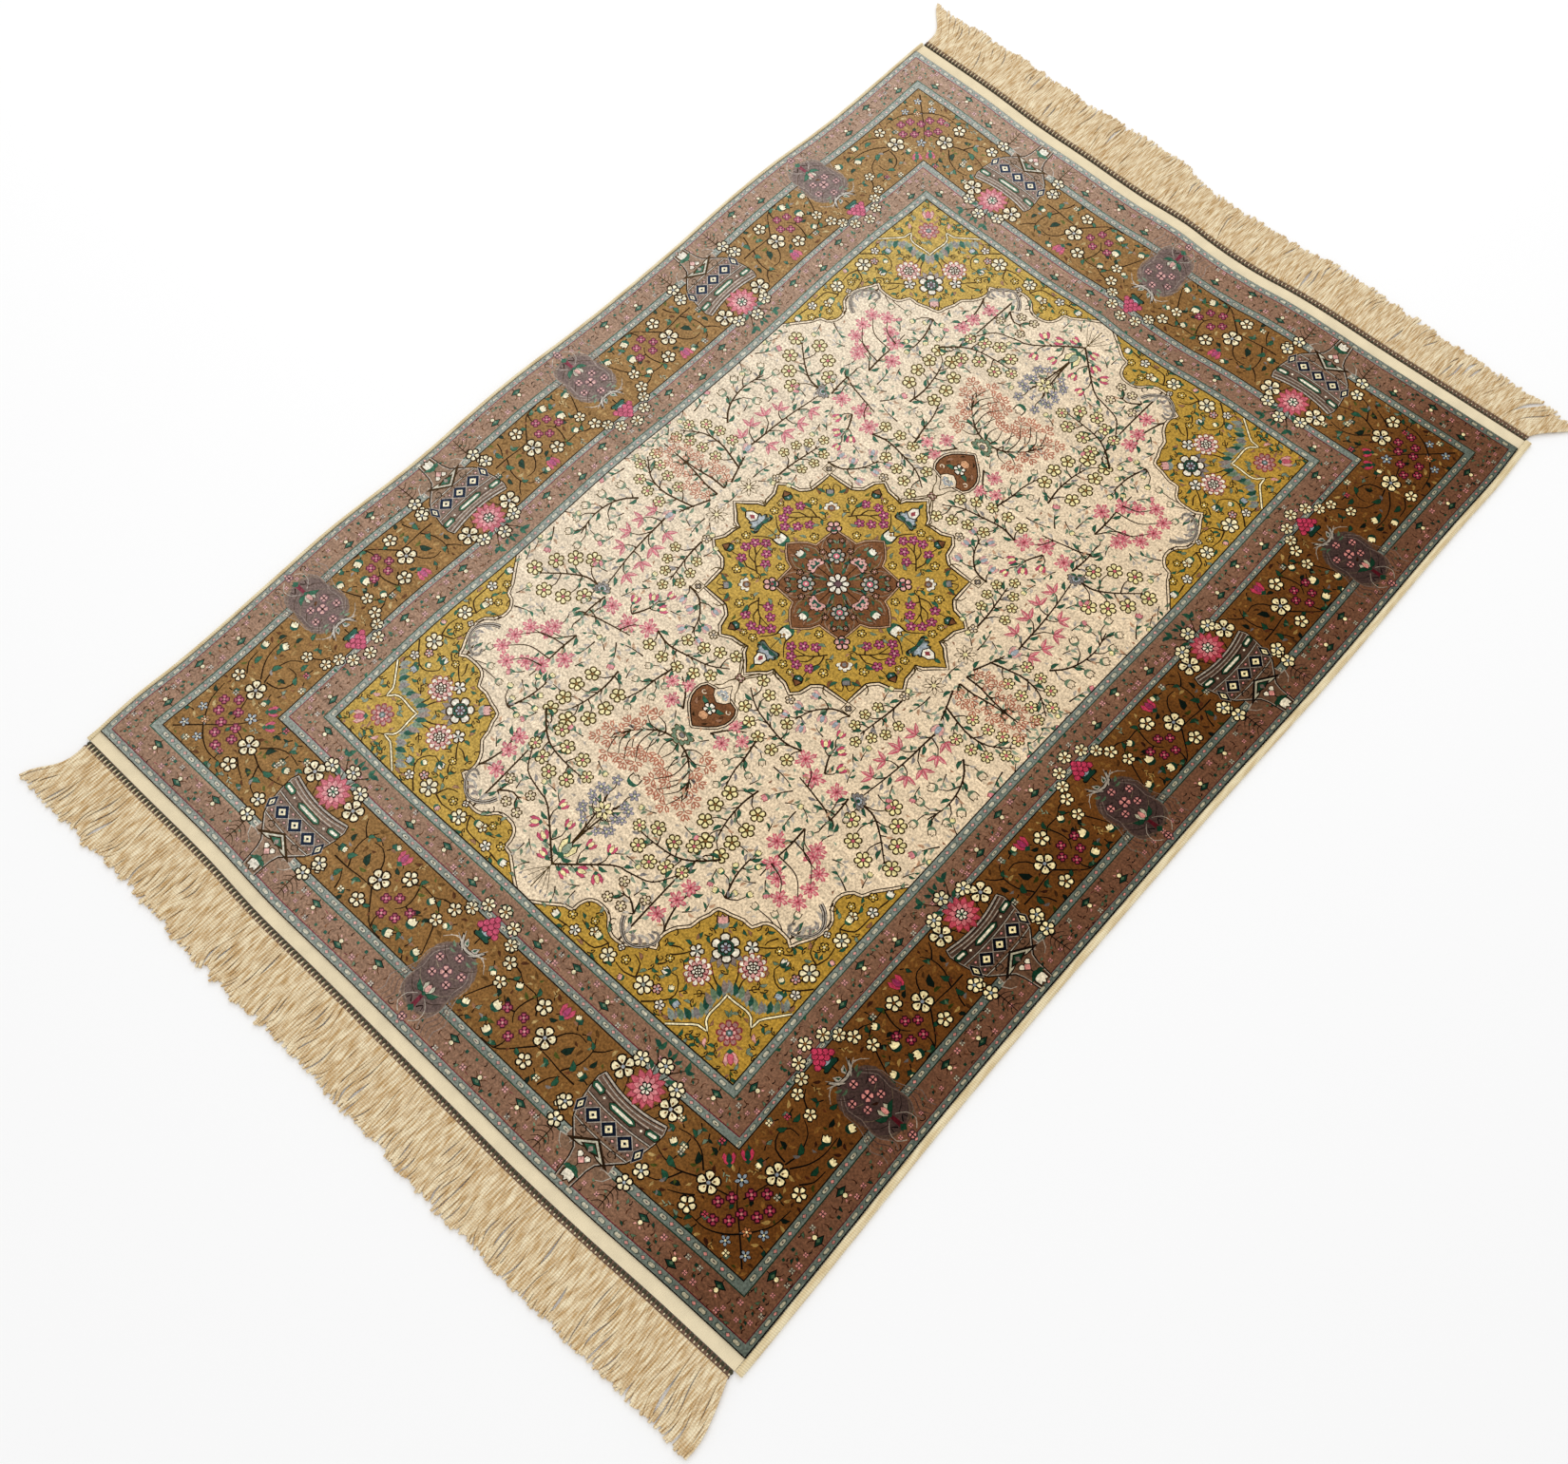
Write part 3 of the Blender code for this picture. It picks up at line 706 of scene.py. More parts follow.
# The ivory field: flowering sprays that climb from the ends and the sides towards the medallion.
fieldSprays = ((((378, 214), (375, 345), (355, 365)), None, ()),
               (((312, 455), (311, 430), (312, 405), (311, 380)), "pinkStar",
                ((283, 437, 10), (265, 425, 9), (325, 423, 10), (260, 405, 9), (310, 400, 10),
                 (260, 385, 9), (295, 390, 9), (278, 375, 9))),
               (((345, 258), (352, 275), (356, 300), (350, 325)), "pinkStar",
                ((358, 318, 9), (360, 298, 9), (366, 272, 9))),
               (((322, 335), (330, 360), (332, 385), (330, 402)), "greenBud",
                ((330, 397, 6), (320, 385, 6), (338, 370, 6), (345, 355, 6), (318, 345, 6),
                 (335, 335, 6), (305, 355, 6))),
               (((381, 455), (384, 432), (382, 405), (376, 380)), "yellowStar",
                ((362, 432, 9), (358, 410, 9), (360, 388, 9), (359, 368, 9), (383, 370, 10),
                 (403, 432, 9), (405, 410, 9), (400, 388, 9))),
               (((355, 365), (375, 345), (395, 334), (425, 330), (448, 330)), "yellowRound",
                ((388, 357, 9), (408, 346, 9), (432, 346, 9), (450, 334, 8), (377, 325, 8),
                 (395, 318, 9), (413, 310, 9), (435, 316, 9))),
               (((494, 233), (480, 245), (440, 280), (425, 285), (400, 292), (390, 300), (378, 320)),
                "pinkTulip",
                ((453, 290, 8), (475, 278, 8), (445, 258, 9), (464, 250, 9), (478, 236, 8))),
               (((492, 262), (490, 290), (486, 320), (480, 345)), "blueStar",
                ((470, 337, 8), (475, 320, 8), (472, 303, 8), (478, 355, 8))),
               (((490, 438), (470, 432), (450, 415), (435, 395)), "rustSpark",
                ((445, 437, 9), (440, 415, 9), (428, 398, 9), (425, 380, 9), (445, 372, 9),
                 (462, 395, 9), (478, 402, 9), (466, 378, 9))),
               (((283, 520), (265, 518), (245, 505), (228, 490), (215, 478)), "yellowRound",
                ((255, 541, 10), (237, 527, 10), (222, 508, 10), (210, 483, 10), (240, 470, 10),
                 (263, 480, 10), (281, 498, 10))),
               (((278, 655), (280, 625), (281, 600), (284, 570), (290, 530)), "leafy",
                ((258, 640, 9), (256, 618, 9), (256, 596, 9), (266, 575, 9), (300, 627, 9),
                 (302, 600, 10), (304, 575, 9), (303, 552, 9))),
               (((285, 470), (305, 485), (330, 492), (358, 498)), "redStar",
                ((315, 512, 10), (345, 508, 11), (368, 520, 11), (285, 446, 9))),
               (((235, 640), (222, 625), (214, 605), (212, 580), (218, 555)), "ivoryTulip",
                ((208, 638, 9), (200, 612, 9), (196, 588, 9), (200, 568, 8), (206, 548, 8),
                 (237, 590, 9), (236, 566, 8), (226, 542, 8))),
               (((300, 515), (298, 490), (300, 465)), "greyBud",
                ((312, 497, 6), (288, 472, 6), (318, 480, 6), (303, 455, 6), (286, 495, 6))),
               (((334, 650), (335, 630), (338, 610), (342, 585)), "yellowStar",
                ((316, 622, 7), (349, 625, 7), (320, 604, 7), (354, 608, 7), (329, 590, 7),
                 (354, 590, 7), (340, 574, 7))),
               (((365, 595), (385, 590), (402, 572), (410, 550)), "greyTulip",
                ((371, 578, 8), (388, 574, 8), (410, 590, 8), (416, 566, 8), (398, 548, 8),
                 (421, 548, 7))),
               (((378, 525), (400, 520), (430, 525), (455, 532), (475, 545)), "yellowStar",
                ((383, 505, 8), (405, 503, 8), (427, 505, 8), (447, 512, 8), (464, 523, 8),
                 (413, 540, 8), (434, 545, 8), (452, 553, 8), (470, 562, 8))),
               (((425, 500), (420, 475), (418, 455), (412, 435)), "ivoryTulip",
                ((403, 485, 7), (404, 462, 7), (433, 478, 7), (432, 458, 7), (420, 430, 7))),
               (((292, 678), (270, 672), (250, 668), (225, 672), (200, 690)), "yellowRound",
                ((204, 700, 8), (220, 692, 8), (238, 688, 8), (259, 686, 8), (202, 676, 8),
                 (217, 660, 8), (236, 655, 8), (257, 654, 8))),
               (((300, 712), (280, 712), (255, 716), (225, 718), (200, 718)), "rustSpark",
                ((208, 708, 8), (228, 706, 8), (247, 703, 8), (267, 698, 8), (284, 696, 8))),
               (((300, 700), (292, 680), (285, 660)), "greyTulip", ((280, 652, 10),)),
               (((340, 520), (350, 540), (352, 560)), "pinkTulip",
                ((345, 552, 8), (362, 548, 8), (330, 535, 8), (358, 568, 7))),
               (((240, 330), (238, 350), (232, 372)), "ivoryTulip",
                ((250, 372, 7), (268, 357, 7), (290, 350, 7))),
               (((470, 470), (455, 490), (440, 500)), "redStar",
                ((452, 470, 9), (436, 488, 8), (455, 497, 8))),
               (((385, 255), (400, 265), (415, 262)), "ivoryRound",
                ((402, 252, 7), (420, 250, 7), (418, 275, 7), (386, 275, 7))))


def weaveField():
    onEnd("field")
    for points, kind, flowers in fieldSprays:
        spray(points, kind or "greenBud", flowers)
    # the tulip and fan at the middle of each end
    for reach in (20, 45, 70):
        tip = fieldSpot(494 - reach * 0.3, 207)
        stem([fieldSpot(494, 233), fieldSpot(494 - reach * 0.14, 222), tip], 1.0, "olive")
        leaf(tip, 7, 250, "grey", fat=0.4)
    stem([fieldSpot(492, 200), fieldSpot(492, 300), fieldSpot(492, 330)], 1.4, "olive")
    openTulip(fieldSpot(492, 246), 21, 90, "lemon", "fern", "bark")
    for lean in (-1, 1):
        leaf(fieldSpot(492 + 3 * lean, 246), 13, 90 - 60 * lean, "leaf", edge="bark", fat=0.4)
    starBlossom(fieldSpot(492, 318), 12, "lemon", "bark", "mist", 6, 90, 1.6)
    for turn in range(0, 360, 40):
        stem([fieldSpot(492, 318) + 11 * aim(turn), fieldSpot(492, 318) + 21 * aim(turn + 5)], 1.2, "bark")
        starBlossom(fieldSpot(492, 318) + 25 * aim(turn + 5), 6, "lilac", "slateDeep", "lemon", 5, turn)
    bud(fieldSpot(491, 360), 16, 90, "ivory", "bark", "leaf")
    palmette(fieldSpot(491, 446), 14, 270, "sage", "ivory", "grey", "olive", "leaf")
    # the eight petalled star beside the medallion
    starBlossom(fieldSpot(320, 690), 13, "ivory", "olive", "lemon", 8, 0)
    palmette(fieldSpot(290, 520), 11, 120, "grey", "ice", "teal", "olive", "leaf")


def fieldFiller(at, turn, pick, size=1.0):
    # a curved sprig with slim muted leaves on both sides
    lean = 1 if pick % 2 else -1
    points = [at - 8.0 * size * aim(turn), at - 1.5 * size * aim(turn - 8 * lean),
              at + 6.0 * size * aim(turn + 14 * lean)]
    stem(points, 1.3 + 0.4 * size, "bark")
    for k, walk in enumerate(np.arange(-4.8, 4.0, 3.6 / size)):
        side = 1 if k % 2 else -1
        leaf(at + walk * size * aim(turn) + side * 0.8j * aim(turn), 8.0 + size,
             turn + 42 * side + 8 * lean,
             ("fern", "mist", "leaf", "biscuit", "mist", "sage")[(pick + k) % 6], fat=0.4)
    if pick % 3 == 0:
        bud(points[2], 6.0 + 2.5 * size, turn + 16 * lean, ("coralLight", "lemon")[pick % 2],
            "rustPink" if pick % 2 == 0 else "olive", "sage")
    else:
        leaf(points[2], 7.5, turn + 20 * lean, "leaf" if pick % 4 == 1 else "mist", fat=0.4)


def fieldLeaf(at, turn, pick):
    leaf(at - 3.2 * aim(turn), 6.6, turn, ("mist", "fern", "biscuit", "mist", "clay")[pick % 5], fat=0.4)


def rustFiller(at, turn, pick):
    leaf(at - 2.0 * aim(turn), 8.0, turn + 30, ("clay", "leaf", "umber", "sage")[pick % 4], edge="ink",
         fat=0.42)
    leaf(at - 2.0 * aim(turn), 6.5, turn - 60, ("leaf", "clay", "moss")[pick % 3], fat=0.4)


def goldFiller(at, turn, pick):
    lean = 1 if pick % 2 else -1
    foot = at - 5.5 * aim(turn)
    stem([foot, at, at + 4.5 * aim(turn + 50 * lean), at + 3.2 * aim(turn + 120 * lean),
          at + 2.0 * aim(turn + 95 * lean)],
         1.7, "bark")
    leaf(at - 1.0 * aim(turn), 8.5, turn - 52 * lean, "leaf" if pick % 3 else "greyGreen", edge="bark",
         fat=0.44)
    if pick % 2:
        leaf(foot, 8.0, turn + 60 * lean, "clay" if pick % 3 else "moss", fat=0.4)


def camelFiller(at, turn, pick):
    lean = 1 if pick % 2 else -1
    if pick % 3 == 0:
        # a pale feathery twig
        tip = at + 6.5 * aim(turn + 10 * lean)
        stem([at - 6.5 * aim(turn), at, tip], 1.2, "ink")
        for walk, side in ((-3.0, 1), (0.0, -1), (3.0, 1)):
            root = at + walk * aim(turn)
            stem([root, root + 4.6 * aim(turn + 42 * side)], 1.5, "twig" if pick % 4 else "fern")
        leaf(tip - 2 * aim(turn), 5.5, turn, "twig", fat=0.4)
        return
    stem([at - 6.5 * aim(turn), at, at + 4.0 * aim(turn + 20)], 1.6, "ink")
    leaf(at, 8.1, turn + 42, ("leaf", "teal", "greyGreen")[pick % 3], edge="ink", fat=0.54)
    leaf(at - 2.0 * aim(turn), 8.0, turn - 46, ("clay", "leafDark", "tan", "leaf")[pick % 4], fat=0.5)
    if pick % 5 == 0:
        bud(at + 2.0 * aim(turn), 9.0, turn, "cream", "ink", "leaf")
    elif pick % 5 == 1:
        rosette(at + 4.0 * aim(turn), 4.6, "coral" if pick % 2 else "pearl", "ink")
    elif pick % 5 == 2:
        rosette(at + 4.5 * aim(turn), 4.8, "cream", "ink")


def camelStroke(at, turn, pick):
    long = 6.5 + (pick % 5)
    leaf(at - 0.5 * long * aim(turn), long, turn,
         ("twig", "umber", "tan", "twig", "earth", "moss", "tan")[pick % 7], fat=0.42,
         bend=0.1 if pick % 2 else -0.1)


def roseFiller(at, turn, pick):
    if pick % 3 == 0:
        rosette(at, 4.0, "blush" if pick % 2 else "pearl")
    elif pick % 3 == 1:
        leaf(at - 2.8 * aim(turn), 6.2, turn, "teal" if pick % 2 else "sage", edge="umber", fat=0.5)
    comma(at + 4.0 * aim(turn + 90), 5.5, 1 if pick % 2 else -1, "umber" if pick % 2 else "ink")


pendantOutline = ((491, 464), (485, 469), (478, 475), (471, 482), (466.5, 490), (465, 498), (466, 506),
                  (470, 512), (476, 513), (481, 514), (487, 515), (491, 515))


def mirroredAxis(points, spot=fieldSpot):
    # a half outline closed by its mirror image over the rug's long middle line
    half = [spot(*p) for p in points]
    return half + [complex(2 * halfWide - p.real, p.imag) for p in half[::-1]]


def grown(outline, extra):
    # an outline moved outward by the extra, straight from its own middle
    outline = np.asarray(outline, complex)
    middle = outline.mean()
    away = outline - middle
    return middle + away * (1 + extra / np.maximum(np.abs(away), 1e-6))


def weavePendant():
    loom.update(band=None, turned=False)
    # crossing lines join the medallion's tip to a pale hood over the heart shaped pendant
    for lean in (-1, 1):
        for shift in (0, 5):
            stem([fieldSpot(491 - lean * (12 + shift), 566), fieldSpot(491 - lean * shift * 0.4, 546),
                  fieldSpot(491 + lean * 7, 533), fieldSpot(491 + lean * 9, 525),
                  fieldSpot(491 + lean * 16, 517 + shift * 0.4)],
                 1.7, "olive")
    outline = mirroredAxis(pendantOutline)
    patch(grown(outline, 4.6), "bark")
    patch(grown(outline, 3.1), "ivory")
    patch(grown(outline, 1.8), "ink")
    patch(outline, "rust")
    hood = mirroredAxis(((491, 530), (487, 522), (480, 514), (484, 508), (491, 504)))
    patch(grown(hood, 1.4), "bark")
    patch(hood, "ivory")
    palmette(fieldSpot(491, 515), 7, 90, "ice", "white", "grey", "grey", "fern", 5)
    blossom(fieldSpot(491, 545), 6, "mauvePink", "olive", "ivory", 4, 45)
    for lean in (-1, 1):
        at = 491 + 14 * lean
        curl(fieldSpot(491 + 19 * lean, 504), 3.6, 90 + 90 * lean, 300 * lean, 1.4, "ivory")
        leaf(fieldSpot(491 + 4 * lean, 496), 13, 90 - 75 * lean, "leaf", edge="ink", fat=0.42)
        leaf(fieldSpot(491 + 17 * lean, 496), 9, 250, "umber", edge="ink", fat=0.42)
        leaf(fieldSpot(at, 486), 9, 90 - 40 * lean, "clay", edge="umber", fat=0.42)
        leaf(fieldSpot(491 + 5 * lean, 472), 8, 90 - 45 * lean, "bark", fat=0.4)
    blossom(fieldSpot(491, 492), 8, "white", "ink", "leaf", 5, 90)
    patch(fieldSpot(491, 481) + 6.5 * ring(6), "umber")
    patch(fieldSpot(491, 481) + 5.2 * ring(6), "peach")


# The gold corners: a cusped edge with scrolls, palmettes and rosettes inside.
cornerEdge = ((183, 480), (195, 464), (207, 449), (213, 437), (222, 434), (230, 424), (231, 412),
              (226, 402), (219, 395), (216, 384), (218, 372), (222, 362), (229, 350), (233, 341),
              (240, 346), (262, 347), (272, 341), (278, 330), (290, 330), (305, 325), (319, 321),
              (322, 310), (327, 298), (329, 286), (339, 275), (345, 262), (345, 250), (341, 243),
              (352, 238), (360, 230), (372, 222), (386, 221), (396, 226), (402, 233), (410, 238),
              (425, 238), (434, 232), (438, 222), (439, 213), (448, 211), (458, 204), (470, 195),
              (482, 187), (482, 170), (170, 170), (170, 480))
cornerScroll = ((240, 400), (232, 396), (225, 389), (220, 379), (222, 368), (231, 358), (243, 353),
                (249, 358), (246, 365))
# one side of the corner's diagonal; the other side is its mirror image
cornerStems = (((183, 322), (192, 312), (206, 300), (218, 300), (229, 311), (224, 325)),
               ((206, 300), (210, 292)), ((243, 330), (252, 322), (262, 316)),
               ((248, 340), (254, 330), (254, 324)), ((198, 344), (194, 358), (196, 372)),
               ((196, 384), (206, 392), (205, 405)), ((206, 392), (192, 400), (190, 420), (190, 440)),
               ((198, 344), (212, 350), (216, 362)), ((205, 405), (203, 420), (206, 432)),
               ((190, 440), (188, 456), (192, 466)), ((243, 268), (246, 278), (245, 284)),
               ((250, 270), (254, 280), (262, 290)), ((236, 268), (234, 276), (226, 284)),
               ((224, 336), (232, 330), (240, 334)), ((192, 280), (188, 294), (193, 304)))
cornerBuds = ((224, 317, 12, 80, "white", "teal"), (207, 298, 12, 260, "ice", "leaf"),
              (211, 304, 9, 30, "cream", "leaf"), (204, 400, 11, 80, "cream", "leaf"),
              (189, 352, 9, 110, "blush", "leaf"), (190, 452, 12, 80, "white", "leaf"))
cornerRounds = ((198, 332, 11.5, "cream", "slate", 6), (204.5, 317.5, 6.5, "blush", "ice", 5),
                (193.6, 304, 7, "white", "grey", 5), (263, 313, 9, "white", "slate", 5),
                (196, 383, 10, "cream", "slate", 6), (205, 412, 7, "cream", "camel", 5),
                (192, 430, 7.5, "white", "slate", 5), (203, 444, 6, "goldLight", "cream", 5),
                (214, 420, 5.5, "goldLight", "cream", 5), (238, 330, 5.5, "goldLight", "cream", 5),
                (205, 365, 6, "goldLight", "cream", 5), (212, 378, 5, "white", "rust", 4))
cornerLeaves = ((264, 322, 9, 90, "leaf"), (240, 300, 8, 200, "moss"), (227, 318, 9, 110, "teal"),
                (223, 337, 9, 40, "leaf"), (212, 340, 9, 150, "sage"), (202, 420, 9, 60, "leaf"),
                (200, 350, 8, 80, "teal"), (216, 352, 9, 60, "clay"), (190, 372, 9, 100, "leaf"),
                (214, 400, 9, 40, "sage"), (186, 412, 9, 90, "clay"), (208, 430, 8, 60, "leaf"),
                (188, 472, 8, 80, "sage"), (220, 402, 7, 60, "leaf"), (230, 300, 8, 40, "clay"),
                (236, 316, 8, 160, "sage"), (188, 286, 9, 100, "clay"), (201, 294, 8, 60, "leaf"),
                (272, 322, 8, 20, "clay"), (283, 322, 8, 200, "leaf"))
cornerFeathers = ((190, 282, 60, "slate"), (197, 274, 62, "sage"), (203, 268, 66, "teal"),
                  (209, 262, 60, "grey"), (215, 261, 50, "sage"), (222, 262, 48, "teal"),
                  (229, 262, 62, "mauve"), (236, 261, 62, "sage"), (242, 260, 52, "teal"),
                  (248, 259, 45, "mauve"))


def scrollLine(points):
    stem(points, 6.0, "bark", 0.5)
    stem(points, 4.2, "mist", 0.5)
    stem(points, 1.5, "bark", 0.6)


def cornerHalf(spot, lean):
    for row in cornerStems:
        stem([spot(*p) for p in row], 2.1, "bark")
    for x, y, turn, dye in cornerFeathers:
        leaf(spot(x, y), 16, lean(turn), dye, fat=0.5, bend=0.05)
        leaf(spot(x, y) + 3.0 * aim(lean(turn - 90)), 12, lean(turn - 16),
             "slate" if dye != "slate" else "grey", fat=0.36)
    line = [spot(*p) for p in ((183, 286), (196, 270), (205, 258), (206, 246), (213, 254),
                               (222, 257), (236, 256), (249, 256))]
    for width, dye in ((4.0, "bark"), (1.8, "cream")):
        stem(line, width, dye, 1.0)
    stem([spot(206, 247), spot(202, 240), spot(196, 238), spot(193, 246)], 1.4, "bark")
    leaf(spot(191, 234), 9, lean(80), "leaf", edge="bark", fat=0.4)
    leaf(spot(200, 243), 10, lean(215), "blush", edge="rustPink", fat=0.42)
    leaf(spot(212, 248), 8, lean(10), "clay", edge="bark", fat=0.4)
    leaf(spot(206, 222), 9, lean(170), "clay", fat=0.4)
    for k, (x, y) in enumerate(((226, 386), (223, 374), (226, 364), (233, 358), (241, 356), (229, 372),
                                (236, 366))):
        leaf(spot(x, y), 13 - k * 0.6, lean(20 + 16 * k), ("mist", "grey", "mauve")[k % 3], edge="mist",
             fat=0.34)
    scrollLine([spot(*p) for p in cornerScroll])
    for x, y, radius, petal, heart, petals in cornerRounds:
        blossom(spot(x, y), radius, petal, "bark", heart, petals, lean(20))
    for x, y, size, turn, petal, cup in cornerBuds:
        bud(spot(x, y), size, lean(turn), petal, "bark", cup)
    for x, y, size, turn, dye in cornerLeaves:
        leaf(spot(x, y), size, lean(turn), dye, edge="bark", fat=0.45)
    for x, y, radius, start, sweep in ((226, 404, 5, 0, 300), (232, 338, 4.5, 90, 320),
                                       (231, 281, 4.5, 200, 320)):
        steps = np.linspace(0, 1, 9)
        turns = start + sweep * steps
        stem([spot(x, y) + radius * (1 - 0.7 * t) * aim(lean(turn)) for t, turn in zip(steps, turns)],
             1.5, "bark")
    # a round bloom of many pale petals, two rings deep
    at = spot(247.5, 297)
    blossom(at, 16, "white", "rustPink", "white", 11, lean(45), 1.5)
    blossom(at, 11.5, "blush", "rustPink", "blush", 9, lean(30), 1.2)
    blossom(at, 8, "white", "bark", "grey", 6, lean(20))
    blossom(at, 4.6, "white", "bark", "bark", 4, lean(0))


def weaveCorner():
    onEnd("field")
    cartoon["corner"] = len(cartoon["patches"])
    patch([fieldSpot(*p) for p in cornerEdge], "gold")
    rim = [fieldSpot(*p) for p in cornerEdge[:-3]]
    stem(rim, 5.0, "bark", 1.0)
    stem(rim, 2.2, "ivory", 1.0)
    foot = complex(sideLines[15], endLines[15])
    # small hooks that curl in from the edge
    for k in range(2, len(rim) - 2, 2):
        inward = (foot - rim[k]) / abs(foot - rim[k])
        along = (rim[k + 1] - rim[k - 1]) / abs(rim[k + 1] - rim[k - 1])
        stem([rim[k] + 2.0 * inward, rim[k] + 6.5 * inward + 1.0 * along,
              rim[k] + 8.0 * inward + 4.0 * along, rim[k] + 5.6 * inward + 5.6 * along],
             1.6, "bark")

    def mirrored(x, y):
        return foot + complex((fieldSpot(x, y) - foot).imag, (fieldSpot(x, y) - foot).real)

    cornerHalf(fieldSpot, lambda turn: turn)
    cornerHalf(mirrored, lambda turn: 90 - turn)
    # on the diagonal: the round bloom of the heart, the rosette under the arch and the bud at the tip
    at = fieldSpot(284, 294)
    for turn in (175, 200, 225, 250, 275):
        leaf(at + 9 * aim(turn), 15, turn, "mauve" if turn in (200, 250) else "grey", edge="bark",
             fat=0.5, bend=0.0)
    blossom(at, 17, "white", "bark", "teal", 6, 45)
    patch(at + 10.2 * ring(8, 22.5), "bark")
    patch(at + 9.2 * ring(8, 22.5), "teal")
    blossom(at, 7.4, "ice", "bark", "plum", 6, 45)
    patch(at + 3.4 * ring(4, 45), "plum")
    stem([fieldSpot(296, 304), fieldSpot(304, 312)], 1.4, "bark")
    bud(fieldSpot(300, 308), 17, 45, "blush", "bark", "slate")
    at = fieldSpot(220, 227)
    blossom(at, 14, "mauvePink", "rustPink", "slate", 9, 45)
    blossom(at, 8.6, "blush", "rustPink", "slate", 6, 15)
    patch(at + 4.4 * ring(6), "slateDeep")
    patch(at + 2.2 * ring(4), "ice")
    openTulip(fieldSpot(208, 214), 16, 225, "blush", "coral", "rustPink", "leaf")
    for turn in (20, 70):
        leaf(fieldSpot(232, 239), 9, turn, "sage", edge="bark", fat=0.4)


# The medallion: a cusped gold star round a rust one, each drawn from one eighth of its outline.
goldEighth = ((168, 0), (157, 8), (148, 17), (139, 21), (141, 30), (142, 44), (149, 56), (141, 62),
              (124, 66), (117, 73), (113, 79), (112, 95), (112, 112))
rustEighth = ((82, 0), (75, 8), (66, 16), (55, 21), (54, 36), (53, 48), (56, 56))


def starSpot(across, along):
    # the far and near points of the star are a little shorter than its side ones
    return complex(halfWide - across, halfLong - along * (1 - 0.035 * (along / 168) ** 2))


def starOutline(eighth, extra=0.0):
    quarter = list(eighth) + [(b, a) for a, b in eighth[-2::-1]]
    points = quarter + [(-a, b) for a, b in quarter[-2::-1]]
    points += [(a, -b) for a, b in points[-2:0:-1]]
    points = np.array([starSpot(*p) for p in points])
    way = np.roll(points, -1) - np.roll(points, 1)
    return points - 1j * way / np.abs(way) * extra


def onBoth(drawOne):
    # once on each side of the star's diagonal
    for flip in (False, True):
        drawOne(lambda a, b: starSpot(b, a) if flip else starSpot(a, b),
                lambda turn: 90 - turn if flip else turn)


def goldLobe(spot, lean):
    for row in (((80, 56), (92, 46), (99, 37), (102, 20)), ((92, 46), (104, 44), (112, 34)),
                ((99, 37), (108, 30), (112, 24)), ((84, 54), (96, 57), (107, 52), (124, 54)),
                ((88, 50), (84, 44), (82, 38)), ((98, 6), (108, 10), (120, 20))):
        stem([spot(*p) for p in row], 2.1, "bark")
    for a, b in ((102, 16.5), (112, 25), (91, 27.5), (116, 37), (82, 39), (109, 52)):
        blossom(spot(a, b), 6.8, "magenta", "wine", "blush", 5, lean(20), 1.2)
    for a, b, radius in ((127, 25, 6), (102, 68, 6.5), (66, 30, 6), (129, 38, 5)):
        blossom(spot(a, b), radius, "goldLight", "bark", "cream", 5, lean(70))
    for a, b, size, turn, dye in ((97, 59, 12, 175, "leaf"), (72, 22, 9, 160, "sage"),
                                  (120, 13, 9, 200, "leaf"), (73, 47, 10, 120, "sage"),
                                  (88, 64, 9, 230, "leaf"), (133, 46, 8, 60, "clay"),
                                  (76, 10, 9, 190, "clay"), (118, 61, 8, 170, "moss")):
        leaf(spot(a, b), size, lean(turn), dye, edge="bark", fat=0.42)
    at = spot(131, 52)
    way = aim(lean(200))
    patch(at + way * np.array([-8, -5 + 6j, 2 + 6.5j, 9, 2 - 6.5j, -5 - 6j]), "ink")
    patch(at + way * np.array([0.5, 1 + 4.6j, 7.4, 1 - 4.6j]), "rust")
    patch(at + way * np.array([-6.8, -4.4 + 4.6j, -0.5 + 4.6j, -1, -0.5 - 4.6j, -4.4 - 4.6j]), "teal")
    patch(at + way * np.array([-4.5, -2.6 + 1.6j, -1.6, -2.6 - 1.6j]), "ice")


def rustLobe(spot, lean):
    stem([spot(18, 10), spot(26, 18), spot(30, 34), spot(42, 44)], 1.2, "moss")
    stem([spot(26, 18), spot(38, 14), spot(56, 16)], 1.2, "moss")
    for a, b, size, turn, dye in ((30, 41, 9, 240, "leaf"), (25, 14, 10, 170, "teal"),
                                  (46, 30, 9, 215, "clay"), (40, 40, 8, 260, "sage"),
                                  (56, 10, 9, 170, "sage"), (64, 6, 7, 200, "clay"),
                                  (44, 12, 8, 150, "leaf"), (35, 12, 8, 230, "clay")):
        leaf(spot(a, b), size, lean(turn), dye, edge="ink", fat=0.42)
    blossom(spot(44, 20), 5, "clay", "ink", "blush", 5, lean(30))
    blossom(spot(38, 48), 4.5, "clay", "ink", "blush", 5, lean(30))


